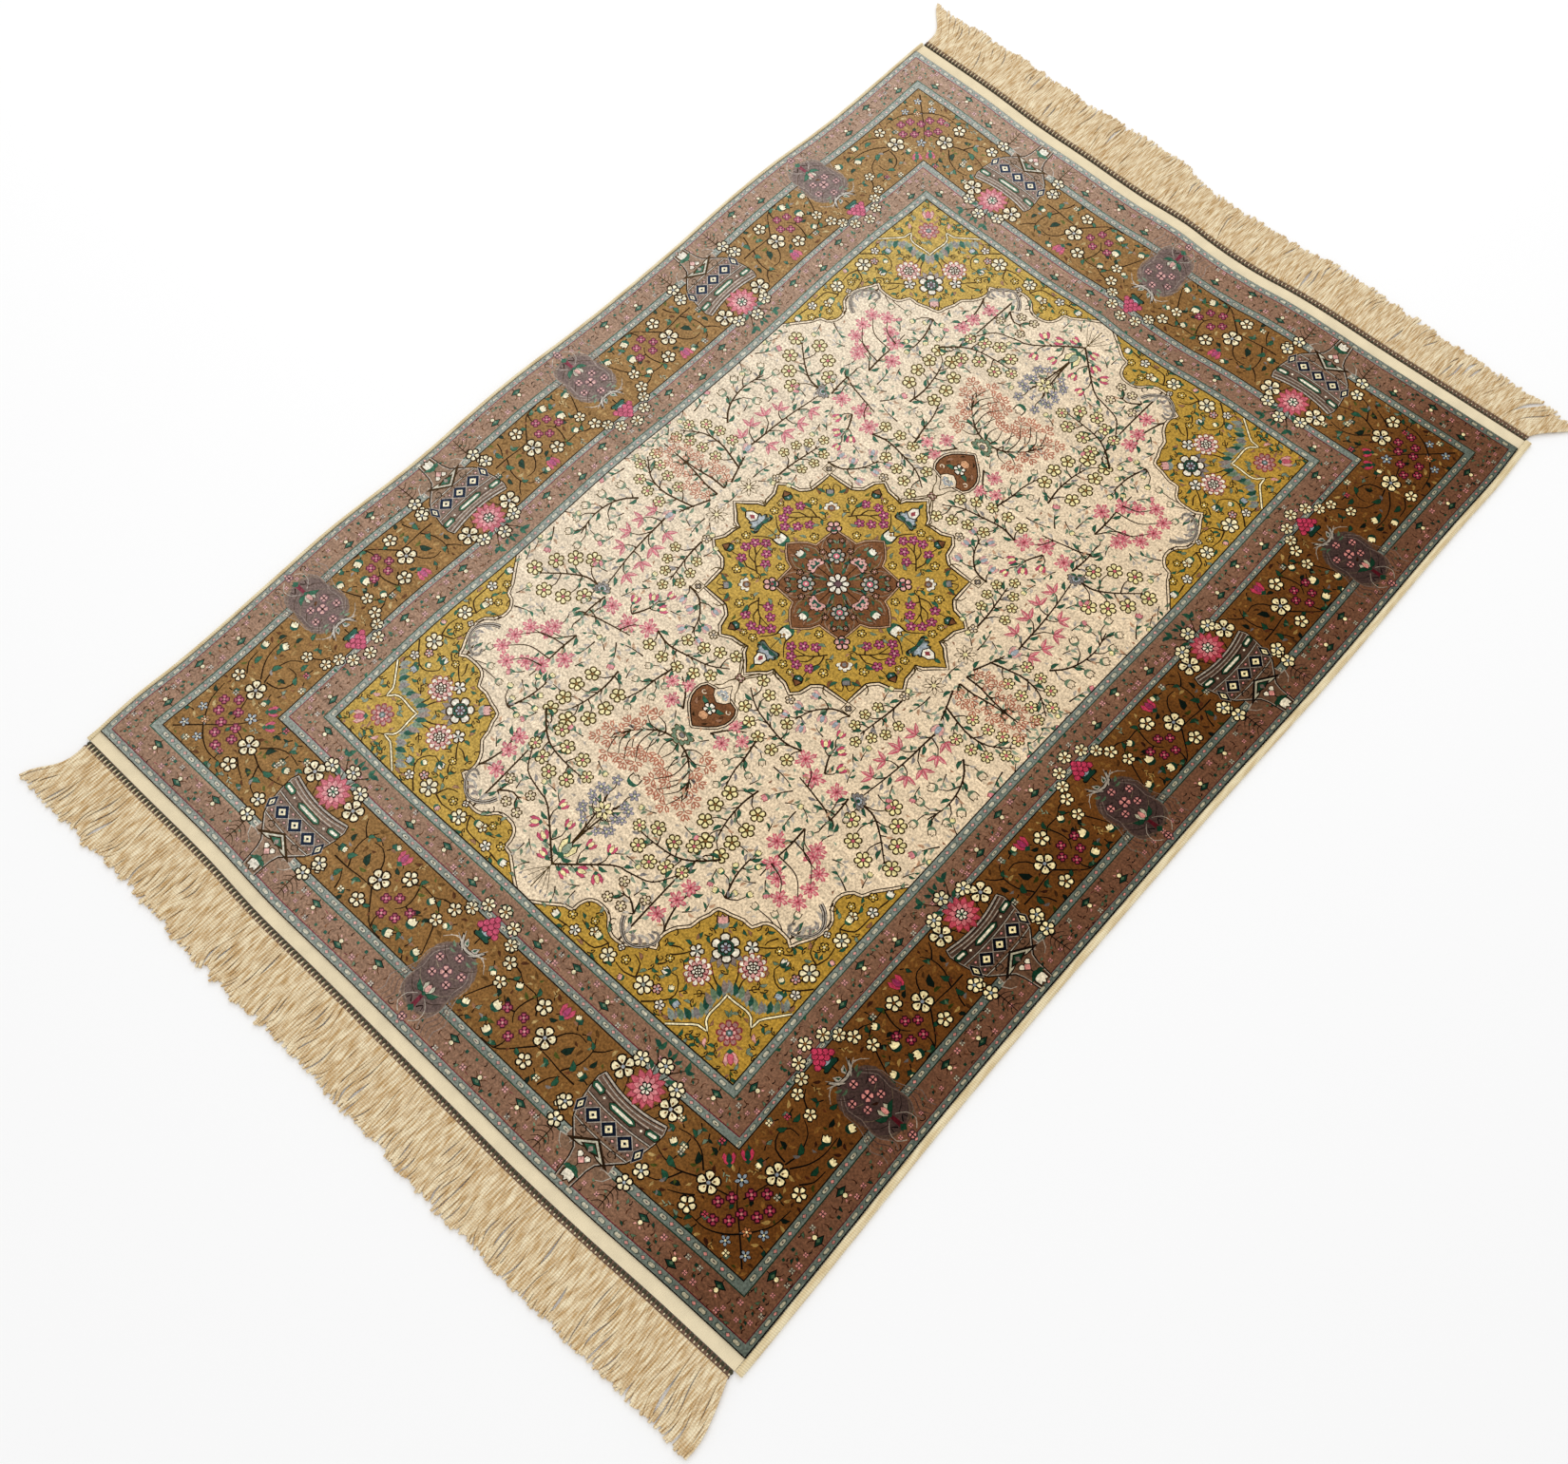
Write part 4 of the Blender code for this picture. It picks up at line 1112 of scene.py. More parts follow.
def weaveMedallion():
    loom.update(band=None, turned=False)
    centre = starSpot(0, 0)
    cartoon["medallion"] = len(cartoon["patches"])
    for extra, dye in ((5.8, "bark"), (4.2, "ivory"), (2.0, "ink"), (0.0, "gold")):
        patch(starOutline(goldEighth, extra), dye)
    # small finials beyond the points, and paired curls at the hollows
    for a, b in ((120, 119), (-120, 119)):
        at = starSpot(a, b)
        patch(at + 9.6 * ring(4, 45), "olive")
        patch(at + 8.0 * ring(4, 45), "ivory")
        blossom(at, 4.8, "grey", "olive", "ivory", 4, 0)
    onBoth(lambda spot, lean: blossom(spot(158, 62), 6.5, "ivory", "olive", "grey", 5, lean(30)))
    onBoth(lambda spot, lean: [stem([spot(139 + a, 22 + b) for a, b in row], 2.0, "olive") for row in
                               (((2, 0), (8, 3), (12, 1)), ((2, 2), (7, 8), (6, 13)))])
    onBoth(lambda spot, lean: stem([spot(115, 80), spot(122, 84), spot(124, 92)], 2.0, "olive"))
    onBoth(goldLobe)
    for turn, a, b in ((180, 1, 0), (270, 0, 1)):
        way = aim(turn)
        at = starSpot(132 * a, 132 * b)
        stem([starSpot(82 * a, 82 * b), at], 1.4, "bark")
        # a rounded hood of blue-grey over a pale heart, and a green tip
        fan(at - 9 * way, 19, turn, "ink", 7, 210.0)
        fan(at - 8 * way, 16.5, turn, "slateDeep", 7, 206.0)
        fan(at - 5 * way, 13.5, turn, "ice", 5, 170.0)
        patch(at + way * np.array([0, 4 + 8j, 14 + 7j, 21, 14 - 7j, 4 - 8j]), "ink")
        patch(at + way * np.array([1.5, 5 + 6.4j, 13.4 + 5.4j, 18.4, 13.4 - 5.4j, 5 - 6.4j]), "white")
        patch(at + way * np.array([4, 8 + 3.4j, 13, 8 - 3.4j]), "rustPink")
        leaf(at + 19 * way, 9, turn, "leaf", edge="ink", fat=0.5, bend=0.0)
        for side in (1, -1):
            leaf(at - 6 * way, 12, turn + 95 * side, "teal", edge="ink", fat=0.4)
        bud(starSpot(81 * a, 81 * b), 21, turn, "white", "ink", "leaf")
        patch(starSpot(97 * a, 97 * b) + 2.6 * ring(4, 45), "camel")
        for side in (1, -1):
            leaf(starSpot(104 * a, 104 * b), 9, turn + 60 * side, "sage", fat=0.4)
    at = starSpot(79, 76)
    for radius, dye in ((11.5, "ink"), (10.2, "white")):
        fan(at + 3 * aim(45), radius * 1.2, 225, dye, 5, 170.0)
    patch(at + 5.5 * ring(6), "rust")
    patch(at + 3.0 * ring(5), "grey")
    bud(starSpot(91, 88), 13, 225, "grey", "ink", "leaf")
    onBoth(lambda spot, lean: leaf(spot(103, 82), 11, lean(200), "rust", edge="bark", fat=0.45))
    onBoth(lambda spot, lean: leaf(spot(88, 100), 11, lean(285), "leaf", edge="bark", fat=0.4))
    onBoth(lambda spot, lean: stem(
        [spot(96, 98), spot(100, 106), spot(92, 108), spot(88, 103)], 1.5, "bark"))
    for extra, dye in ((3.8, "ink"), (2.7, "biscuit"), (1.1, "ink"), (0.0, "rust")):
        patch(starOutline(rustEighth, extra), dye)
    for k in range(8):
        way = aim(45 * k + 22.5)
        stem([centre + 15 * way, centre + 36 * aim(45 * k + 24), centre + 58 * way], 1.9, "ink")
        for lean in (1, -1):
            stem([centre + 20 * aim(45 * k + 22.5 + 7 * lean),
                  centre + 38 * aim(45 * k + 22.5 + 4 * lean),
                  centre + 56 * aim(45 * k + 22.5 + 4 * lean),
                  centre + 68 * aim(45 * k + 22.5 + 13 * lean)],
                 1.3, "duskLight")
    onBoth(rustLobe)
    for turn, a, b in ((180, 1, 0), (270, 0, 1)):
        way = aim(turn)
        at = starSpot(40 * a, 40 * b)
        stem([starSpot(14 * a, 14 * b), starSpot(66 * a, 66 * b)], 1.3, "ink")
        fan(at - 6 * way, 15, turn, "ink", 7, 220.0)
        fan(at - 5.4 * way, 13, turn, "blush", 7, 216.0)
        fan(at - 4 * way, 8, turn, "teal", 5, 200.0)
        patch(at + 0.5 * way + 2.6 * ring(5), "blush")
        bud(starSpot(54 * a, 54 * b), 14, turn, "white", "ink", "leaf")
    at = starSpot(28, 27)
    blossom(at, 11.5, "mist", "ink", "teal", 7, 45)
    patch(at + 6.4 * ring(7), "teal")
    patch(at + 4.2 * ring(6), "coral")
    patch(at + 1.8 * ring(4), "white")
    blossom(starSpot(58, 56), 10, "blush", "ink", "teal", 5, 45)
    patch(starSpot(56, 54) + 4.6 * ring(5), "teal")
    patch(starSpot(57, 55) + 2.4 * ring(5), "rustPink")
    for k in range(8):
        leaf(centre + 14 * aim(45 * k + 22.5), 11, 45 * k + 22.5, "leaf", edge="ink", fat=0.36, bend=0.0)
    blossom(centre, 14.5, "white", "ink", "plum", 8, 0)
    patch(centre + 6.4 * ring(4, 45), "ink")
    patch(centre + 5.0 * ring(4, 45), "plum")


# The main border: vases, berry clusters and flowering branches between them.
branchFlowers = (("cream",
                  ((117, 100, 12.5), (141, 123, 10), (116, 68, 9.5), (196, 110, 8.5), (203, 132, 9),
                   (214, 146, 8), (56, 65, 9), (50, 46, 9))),
                 ("berry", ((149, 100, 6), (138, 90, 6), (170, 96, 6), (162, 81, 6), (147, 75, 6))))
branchBuds = ((181, 82, 15, 100), (162, 62, 14, 20), (205, 64, 12, 70), (172, 37, 14, 240),
              (209, 32, 13, 260), (174, 116, 11, 60))
branchLeaves = ((71, 92, 12, 60), (94, 101, 14, 120), (76, 69, 11, 80), (94, 79, 10, 30),
                (128, 118, 8, 150), (154, 126, 9, 60), (176, 74, 10, 300), (186, 98, 9, 40),
                (132, 72, 9, 200), (188, 122, 8, 120), (60, 110, 9, 100), (150, 60, 9, 330),
                (222, 88, 9, 80), (178, 104, 8, 200), (216, 62, 9, 120), (70, 125, 8, 40),
                (100, 60, 8, 240))
branchStems = (((59, 86), (80, 86), (100, 88), (117, 88)), ((80, 87), (70, 105), (69, 124), (76, 136)),
               ((69, 124), (60, 131), (54, 140)), ((112, 100), (104, 118), (92, 127), (80, 126)),
               ((117, 88), (128, 76), (139, 64), (150, 56), (165, 55)),
               ((141, 110), (150, 122), (160, 127), (175, 126), (186, 132)),
               ((155, 126), (160, 112), (161, 98), (154, 88)), ((161, 98), (172, 96), (182, 103)),
               ((160, 60), (172, 66), (181, 76)), ((176, 126), (190, 120), (196, 112)),
               ((186, 132), (196, 134), (205, 134)), ((196, 110), (206, 90), (214, 72)),
               ((150, 56), (146, 66), (147, 76)), ((112, 130), (120, 132), (126, 126)),
               ((165, 55), (180, 48), (196, 50)), ((88, 60), (84, 72), (76, 82)))


def branch(vaseAt, clusterAt):
    pull = (clusterAt - vaseAt) / 247.0
    flip = 1 if pull > 0 else -1

    def spot(along, depth):
        return seat(vaseAt + along * pull, depth)

    def lean(turn):
        return turn if flip > 0 else 180 - turn

    for row in branchStems:
        stem([spot(*p) for p in row], 2.0, "ink")
    for k, (along, depth, size, turn) in enumerate(branchLeaves):
        leaf(spot(along, depth), size * 1.1, lean(turn), ("leaf", "leafDark", "leaf")[k % 3],
             edge="ink", fat=0.52)
        leaf(spot(along + 5, depth - 4), size * 0.75, lean(turn + 70),
             ("rust", "moss", "grey", "sage")[k % 4], fat=0.45)
    for along, depth, size, turn in branchBuds:
        bud(spot(along, depth), size, lean(turn), "cream", "ink", "teal")
    openTulip(spot(119, 125), 17, lean(90), "pink", "magenta", "rust", "leaf")
    for kind, rows in branchFlowers:
        for along, depth, radius in rows:
            if kind == "cream" and radius > 11:
                largeCream(spot(along, depth), radius + 0.5, lean(80))
            else:
                flowerKinds[kind](spot(along, depth), radius, lean(90 if kind == "cream" else 45))


def largeCream(at, radius, turn):
    blossom(at, radius, "cream", "ink", "camel", 5, turn)
    for k in range(5):
        way = aim(turn + 72 * k)
        patch([at + way * radius * 0.3, at + way * radius * (0.46 + 0.09j), at + way * radius * 0.62,
               at + way * radius * (0.46 - 0.09j)], "camel")
    patch(at + 0.17 * radius * ring(5, turn), "ice")


def vase(at):
    def spot(along, depth):
        return seat(at + along, depth)

    def shape(points, dye):
        patch([spot(a, d) for a, d in points] + [spot(-a, d) for a, d in points[::-1]], dye)

    def bowed(depth, wide, sag, width, dye):
        stem([spot(wide * k, depth - sag * (1 - k * k)) for k in (-1, -0.5, 0, 0.5, 1)], width, dye, 1.0)

    loom["band"] = None
    for lean in (1, -1):
        # stalks that hang beside the foot, and their drooping twigs
        stem([spot(46 * lean, 54), spot(45 * lean, 34), spot(46 * lean, 12)], 1.8, "bark")
        # broad petals of the foot, in the ground's own rose
        for turn, size in ((-62, 25), (-25, 20), (-100, 20)):
            leaf(spot(17 * lean, 34), size + 2,
                 90 - (90 + turn) * lean if lean > 0 else 90 + (90 + turn), "mist", fat=0.62, bend=0.0)
            leaf(spot(17 * lean, 34), size, 90 - (90 + turn) * lean if lean > 0 else 90 + (90 + turn),
                 "vaseBody", fat=0.62, bend=0.0)
        for k, depth in enumerate((38, 32, 26, 20)):
            for side, reach in ((1, 13 - k), (-1, 10 - k)):
                foot = 45.5 * lean
                stem([spot(foot, depth), spot(foot + side * reach * 0.5, depth - 1.5),
                      spot(foot + side * reach, depth - 7)],
                     1.2, "bark")
    body = ((0, 8), (11, 8), (13, 30), (16, 40), (27, 51), (38, 62), (43, 75), (47, 96), (48, 110),
            (45, 119), (0, 112))
    shape(body, "ink")
    shape(((0, 8), (9.6, 8), (11.6, 31), (14.6, 41), (25.8, 52.2), (36.6, 63), (41.6, 75), (45.6, 96),
           (46.6, 110), (43.6, 118), (0, 112)),
          "mist")
    shape(((0, 8), (8.6, 8), (10.8, 31.6), (13.8, 41.6), (25, 53), (35.8, 63.6), (40.8, 75), (44.8, 96),
           (45.8, 110), (43, 117), (0, 111)),
          "vaseBody")
    shape(((0, 88), (43, 91), (45.4, 101), (45.8, 106), (0, 100)), "taupe")
    for depth, wide, sag, width, dye in ((111, 45, 5, 5.0, "taupe"), (107.4, 45.6, 5, 1.0, "mist"),
                                         (105.0, 45.6, 5, 1.2, "taupeDark"),
                                         (91.6, 43.6, 3, 3.0, "ink"), (91.6, 43.6, 3, 1.3, "mist"),
                                         (64.4, 36.6, 2, 2.8, "ink"), (64.4, 36.6, 2, 1.2, "mist")):
        bowed(depth, wide, sag, width, dye)
    shape(((0, 67), (37.6, 68), (41, 76), (43, 88), (0, 86)), "dusk")
    # the cartouches of the dark band
    for middle, wide in ((0, 16), (-38, 6), (38, 6)):
        depth = 96.6 - (0 if middle == 0 else -2.5)
        for extra, dye in ((2.6, "bark"), (1.6, "leaf"), (-0.4, "white")):
            patch([spot(middle + a * (wide + extra * 1.3),
                        depth + b * (2.0 + extra) + 0.0016 * (middle + a * wide) ** 2)
                   for a, b in ((-1, 0), (-0.75, 1), (0.75, 1), (1, 0), (0.75, -1), (-0.75, -1))],
                  dye)
    for along in (-26, 26):
        lozenge(spot(along, 97.5), 1.8, 1.6, "white")
    # a row of blue lozenges, the outer ones narrower as the body turns away
    for along, wide in ((-40.5, 5.4), (-22.5, 10.4), (0, 10.4), (22.5, 10.4), (40.5, 5.4)):
        middle = spot(along, 77)
        for size, dye in ((1.12, "mist"), (1.02, "night"), (0.52, "cream"), (0.2, "night")):
            lozenge(middle, wide * size, 9.8 * size, dye)
    for along in (-33, -11.2, 11.2, 33):
        for depth in (70.5, 84):
            lozenge(spot(along, depth), 3.0, 2.4, "ink")
            lozenge(spot(along, depth), 1.9, 1.5, "blush")
    for along in np.arange(-33, 34, 5.5):
        lozenge(spot(along, 66.6), 1.5, 1.1, "umber")
    # the rim, bowed towards the foot
    for depth, width, dye in ((117.4, 5.0, "bark"), (117.0, 3.0, "mist"), (115.8, 1.2, "taupeDark"),
                              (112.6, 1.2, "mist")):
        bowed(depth, 43.5, 6, width, dye)
    # the standing tulip and its tendrils over the foot
    shape(((0, 64), (29, 44), (14, 45), (0, 49)), "bark")
    shape(((0, 60.8), (20, 46.4), (12, 46.8), (0, 51.4)), "pearl")
    shape(((0, 58), (13, 49), (0, 46)), "bark")
    shape(((0, 56), (9, 50.2), (0, 47.6)), "leaf")
    shape(((0, 54), (3, 51), (0, 46)), "mauve")
    for lean in (1, -1):
        for size, dye in ((1.0, "bark"), (0.72, "white")):
            patch([spot(lean * (5 + a * size * 4.6), 40 + b * size * 4.4)
                   for a, b in ((-1, -0.6), (0, -1), (1, 0.2), (0.4, 1), (-0.8, 0.8))],
                  dye)
        curl(spot(20 * lean, 59), 5.6, 90 - 90 * lean, 340 * lean, 1.5, "bark")
        stem([spot(15 * lean, 53.6), spot(22 * lean, 52.6), spot(27 * lean, 55)], 1.2, "bark")
    lozenge(spot(0, 36), 5.6, 5.6, "bark")
    lozenge(spot(0, 36), 4.2, 4.2, "blush")
    stem([spot(0, 31), spot(0, 24)], 1.4, "bark")
    bud(spot(0, 28), 19, -90, "white", "bark", "leaf")
    for lean in (1, -1):
        leaf(spot(3 * lean, 25), 9, 90 - 120 * lean, "leaf", edge="bark", fat=0.4)


def vaseFlowers(at):
    def spot(along, depth):
        return seat(at + along, depth)

    loom["band"] = None
    for lean in (1, -1):
        for row in (((6, 114), (9, 122), (22, 128)), ((28, 116), (31, 122), (34, 130)),
                    ((15, 115), (22, 132), (24, 146)), ((8, 160), (15, 168), (20, 176)),
                    ((4, 146), (8, 154), (10, 164))):
            stem([spot(a * lean, d) for a, d in row], 1.6, "bark")
        largeCream(spot(34 * lean, 134), 13.5, 90 + 20 * lean)
        blossom(spot(25 * lean, 153), 9.8, "cream", "ink", "ice", 6, 90)
        blossom(spot(54 * lean, 68), 9.4, "cream", "ink", "ice", 5, 90)
        blossom(spot(49 * lean, 48), 9.4, "cream", "ink", "ice", 5, 60)
        leaf(spot(10 * lean, 152), 11, 90 - 50 * lean, "leaf", edge="ink", fat=0.4)
        leaf(spot(19 * lean, 172), 13, 90 + 10 * lean, "leaf", fat=0.5)
        leaf(spot(18 * lean, 174), 12, 90 - 70 * lean, "teal", fat=0.5)
        leaf(spot(4 * lean, 172), 10, 90 - 35 * lean, "teal", fat=0.5)
        stem([spot(30 * lean, 172), spot(36 * lean, 176), spot(37 * lean, 169), spot(32 * lean, 167)],
             1.3, "umber")
    stem([spot(0, 112), spot(0, 122)], 2.0, "wine")
    leaf(spot(0, 170), 13, 90, "leaf", edge="ink", fat=0.36, bend=0.0)
    sunburst(spot(0, 133), 21.5, "coral", "rustPink", 12)
    sunburst(spot(0, 133), 14.5, "coralLight", "rustPink", 10)
    blossom(spot(0, 133), 7.6, "white", "ink", "leaf", 6, 90)
    blossom(spot(0, 164), 9.8, "cream", "ink", "ice", 6, 90)


def sunburst(at, radius, petal, edge, petals):
    # wide pointed petals that overlap like a dahlia's
    wedge = 2j * math.pi / petals
    patch([at + 1j * radius * r * np.exp(wedge * (k + swing)) for k in range(petals)
           for swing, r in ((-0.5, 0.74), (-0.2, 0.92), (0.0, 1.03), (0.2, 0.92))], edge)
    for k in range(petals):
        patch([at + 1j * radius * r * np.exp(wedge * (k + swing))
               for swing, r in ((-0.44, 0.35), (-0.42, 0.72), (-0.16, 0.88), (0.0, 0.97), (0.16, 0.88),
                                (0.42, 0.72), (0.44, 0.35))],
              petal)


def cluster(at):
    def spot(along, depth):
        return seat(at + along, depth)

    def shape(points, dye):
        patch([spot(a, d) for a, d in points] + [spot(-a, d) for a, d in points[::-1]], dye)

    loom["band"] = None
    # a soft feathered body, its lower fringe spread wide in wavy lines
    waist = ((0, 24), (12, 26), (22, 31), (27, 42), (26, 54), (29, 66), (30, 80), (30, 92), (24, 102),
             (13, 110), (0, 112))
    shape(waist, "dusk")
    shape([(a * 0.92, 68 + (d - 68) * 0.94) for a, d in waist], "clusterShade")
    for lean in (1, -1):
        for k, dye in enumerate(("mauve", "clusterShade", "dusk", "mauve")):
            out = 5.0 * k
            stem([spot((15 + out * 0.35) * lean, 100 - out * 0.1), spot((25 + out * 0.4) * lean, 84),
                  spot((23 + out * 0.5) * lean, 66), spot((27 + out * 0.6) * lean, 50),
                  spot((25 + out * 1.15) * lean, 36), spot((18 + out * 1.3) * lean, 24),
                  spot((22 + out * 1.2) * lean, 14)],
                 1.0, dye, 1.0)
        for k in range(6):
            depth = 32 + k * 12
            stem([spot(9 * lean, depth - 4), spot(17 * lean, depth), spot(24 * lean, depth + 8)], 0.9,
                 "bark" if k % 2 else "duskLight")
        stem([spot(8 * lean, 14), spot(16 * lean, 22), spot(14 * lean, 34), spot(5 * lean, 42)], 1.0,
             "mist")
        curl(spot(21 * lean, 17), 4.5, 90 + 90 * lean, 300 * lean, 1.2)
        stem([spot(4 * lean, 30), spot(9 * lean, 36), spot(11 * lean, 30)], 1.6, "ink")
    shape(((0, 22), (3.0, 24), (2.0, 44), (0, 44)), "crimson")
    lozenge(spot(0, 26), 4.6, 4.6, "leaf")
    rosette(spot(0, 13), 5.6)
    # the collar and the pine-scaled bloom over it
    shape(((0, 106), (12, 108), (19, 121), (15, 121), (8, 113), (0, 111)), "ink")
    shape(((0, 107), (11, 109.4), (17, 119.6), (15, 119), (9, 112), (0, 110)), "mist")
    for lean in (1, -1):
        leaf(spot(3 * lean, 112), 10, 90 - 38 * lean, "mist", edge="ink", fat=0.6)
        for k in range(4):
            stem([spot(5 * lean, 106), spot((10 + 3 * k) * lean, 112 + k),
                  spot((17 + 5 * k) * lean, 124 - 7 * k)],
                 1.1, "mist")
        leaf(spot(4 * lean, 113), 6, 90 - 38 * lean, "leaf", fat=0.5)
        leaf(spot(12 * lean, 104), 9, 90 - 60 * lean, "sage", fat=0.4)
    stem([spot(0, 120), spot(0, 134)], 1.8, "ink")
    fan(spot(0, 128), 14, 90, "ink", 5, 190)
    fan(spot(0, 129), 12, 90, "teal", 5, 186)
    fan(spot(0, 134), 6, 90, "ice", 3, 160)
    for depth, count in ((140, 4), (145.5, 3), (151, 2), (156, 1)):
        for k in range(count):
            middle = spot((k - (count - 1) / 2) * 7.4, depth)
            patch(middle + 4.6 * ring(6), "crimson")
            patch(middle + 3.5 * ring(6), "pink")
    for along, depth, radius in ((0, 98, 6.2), (17, 85, 6), (-17, 85, 6), (0, 78, 8), (-11, 68, 6),
                                 (11, 68, 6)):
        rosette(spot(along, depth), radius)
    openTulip(spot(0, 44), 14, 90, "pearl", "blush", "ink", "leaf")
    for lean in (1, -1):
        leaf(spot(2 * lean, 46), 15, 90 - 58 * lean, "leaf", edge="ink", fat=0.4)
        leaf(spot(8 * lean, 100), 10, 90 - 90 * lean, "sage", fat=0.3)
        for along, depth, radius in ((20, 161, 9), (31, 146, 8.5)):
            blossom(spot(along * lean, depth), radius, "cream", "ink", "camel", 6, 90)
        for along, depth, turn in ((19, 190, 60), (33, 172, 20), (42, 158, 10)):
            leaf(spot(along * lean, depth - 8), 8, 90 - lean * turn, "leaf", fat=0.5)
    blossom(spot(0, 168), 9, "cream", "ink", "camel", 6, 90)


cornerBranch = {"large": ((138, 102, 13), (90, 153, 13)),
                "cream": ((140, 72, 10), (60, 153, 9), (103, 222, 8), (127, 230, 8)),
                "berry": ((85, 132), (72, 121), (97, 121), (78, 108), (110, 106), (92, 100), (118, 94),
                          (97, 87), (110, 77)),
                "stars": ((114, 126, 8), (61, 99, 6.5), (62, 72, 6.5), (87, 70, 6.5)),
                "leaves": ((160, 108, 12, 60), (187, 97, 13, 200), (172, 75, 12, 30),
                           (158, 82, 10, 330), (63, 175, 11, 90), (85, 182, 12, 60), (100, 178, 9, 20),
                           (120, 188, 10, 130), (74, 200, 9, 90), (150, 128, 9, 20), (178, 128, 9, 30),
                           (165, 62, 9, 340), (60, 215, 9, 60), (112, 205, 10, 90), (125, 150, 9, 45),
                           (90, 112, 8, 45), (104, 96, 8, 60), (72, 92, 8, 240), (58, 122, 8, 150),
                           (128, 66, 8, 300), (200, 118, 9, 20), (80, 225, 9, 80), (92, 240, 9, 110)),
                "buds": ((65, 233, 13, 120), (70, 207, 13, 60), (55, 193, 12, 100), (33, 205, 12, 200),
                         (28, 240, 12, 190), (192, 70, 13, 330), (205, 33, 12, 260), (178, 33, 12, 250),
                         (188, 108, 11, 30)),
                "stems": (((56, 60), (80, 84), (105, 108), (124, 134)),
                          ((105, 108), (120, 104), (128, 102)), ((100, 112), (94, 130), (90, 142)),
                          ((80, 84), (92, 74), (110, 66), (130, 66)),
                          ((80, 84), (70, 96), (60, 112), (56, 135)),
                          ((150, 100), (170, 92), (190, 92), (208, 98)),
                          ((150, 108), (165, 122), (182, 127), (198, 124)),
                          ((165, 94), (172, 80), (180, 70), (194, 66)),
                          ((90, 166), (86, 185), (92, 205), (104, 214)),
                          ((92, 168), (108, 172), (116, 186), (110, 198), (98, 198)),
                          ((84, 166), (72, 182), (66, 200), (66, 222)),
                          ((140, 84), (152, 76), (165, 70)), ((66, 160), (56, 172), (54, 188)),
                          ((104, 222), (118, 230), (124, 240)))}


def cornerPiece():
    onEnd("main")
    for row in cornerBranch["stems"]:
        stem([cornerSpot(*p) for p in row], 2.0, "ink")
    for k, (x, y, size, turn) in enumerate(cornerBranch["leaves"]):
        leaf(cornerSpot(x, y), size * 1.1, turn, "leaf" if k % 3 else "leafDark", edge="ink", fat=0.52)
        leaf(cornerSpot(x + 5, y - 4), size * 0.7, turn + 80, ("moss", "rust", "grey")[k % 3], fat=0.45)
    for x, y, size, turn in cornerBranch["buds"]:
        bud(cornerSpot(x, y), size, turn, "cream", "ink", "teal")
    for x, y, radius in cornerBranch["large"]:
        largeCream(cornerSpot(x, y), radius, 60)
    for x, y, radius in cornerBranch["cream"]:
        blossom(cornerSpot(x, y), radius, "cream", "ink", "camel")
    for x, y in cornerBranch["berry"]:
        blossom(cornerSpot(x, y), 6.8, "berryPink", "wine", "blush", 4, 45)
    for x, y, radius in cornerBranch["stars"]:
        starBlossom(cornerSpot(x, y), radius, "ice", "ink", "cream", 5)
    starBlossom(cornerSpot(76, 90), 6, "peach", "ink", "cream", 6)
    openTulip(cornerSpot(120, 143), 14, 45, "pink", "leaf", "rust")
    openTulip(cornerSpot(132, 128), 14, 45, "pink", "leaf", "rust")


def weaveMainBorder():
    onEnd("main")
    branch(253, 500)
    cornerPiece()
    onSide("main")
    branch(499, 726)
    branch(499, 277)
    for strip, vases, clusters in ((onEnd, (253,), (500,)), (onSide, (499,), (277, 726))):
        strip()
        for at in vases:
            vase(at)
            vaseFlowers(at)
        for at in clusters:
            cluster(at)


# For each small filler: the step between tries and the distance kept clear round it.
filling = {
    "fieldSprig": (20.0, 9.0), "fieldTwig": (11.0, 5.2), "fieldLeaf": (8.5, 4.4), "gold": (9.0, 3.6),
    "rust": (8.5, 4.4), "camelSprig": (8.6, 4.0), "camelStroke": (7.0, 2.5), "rose": (7.5, 3.4),
}


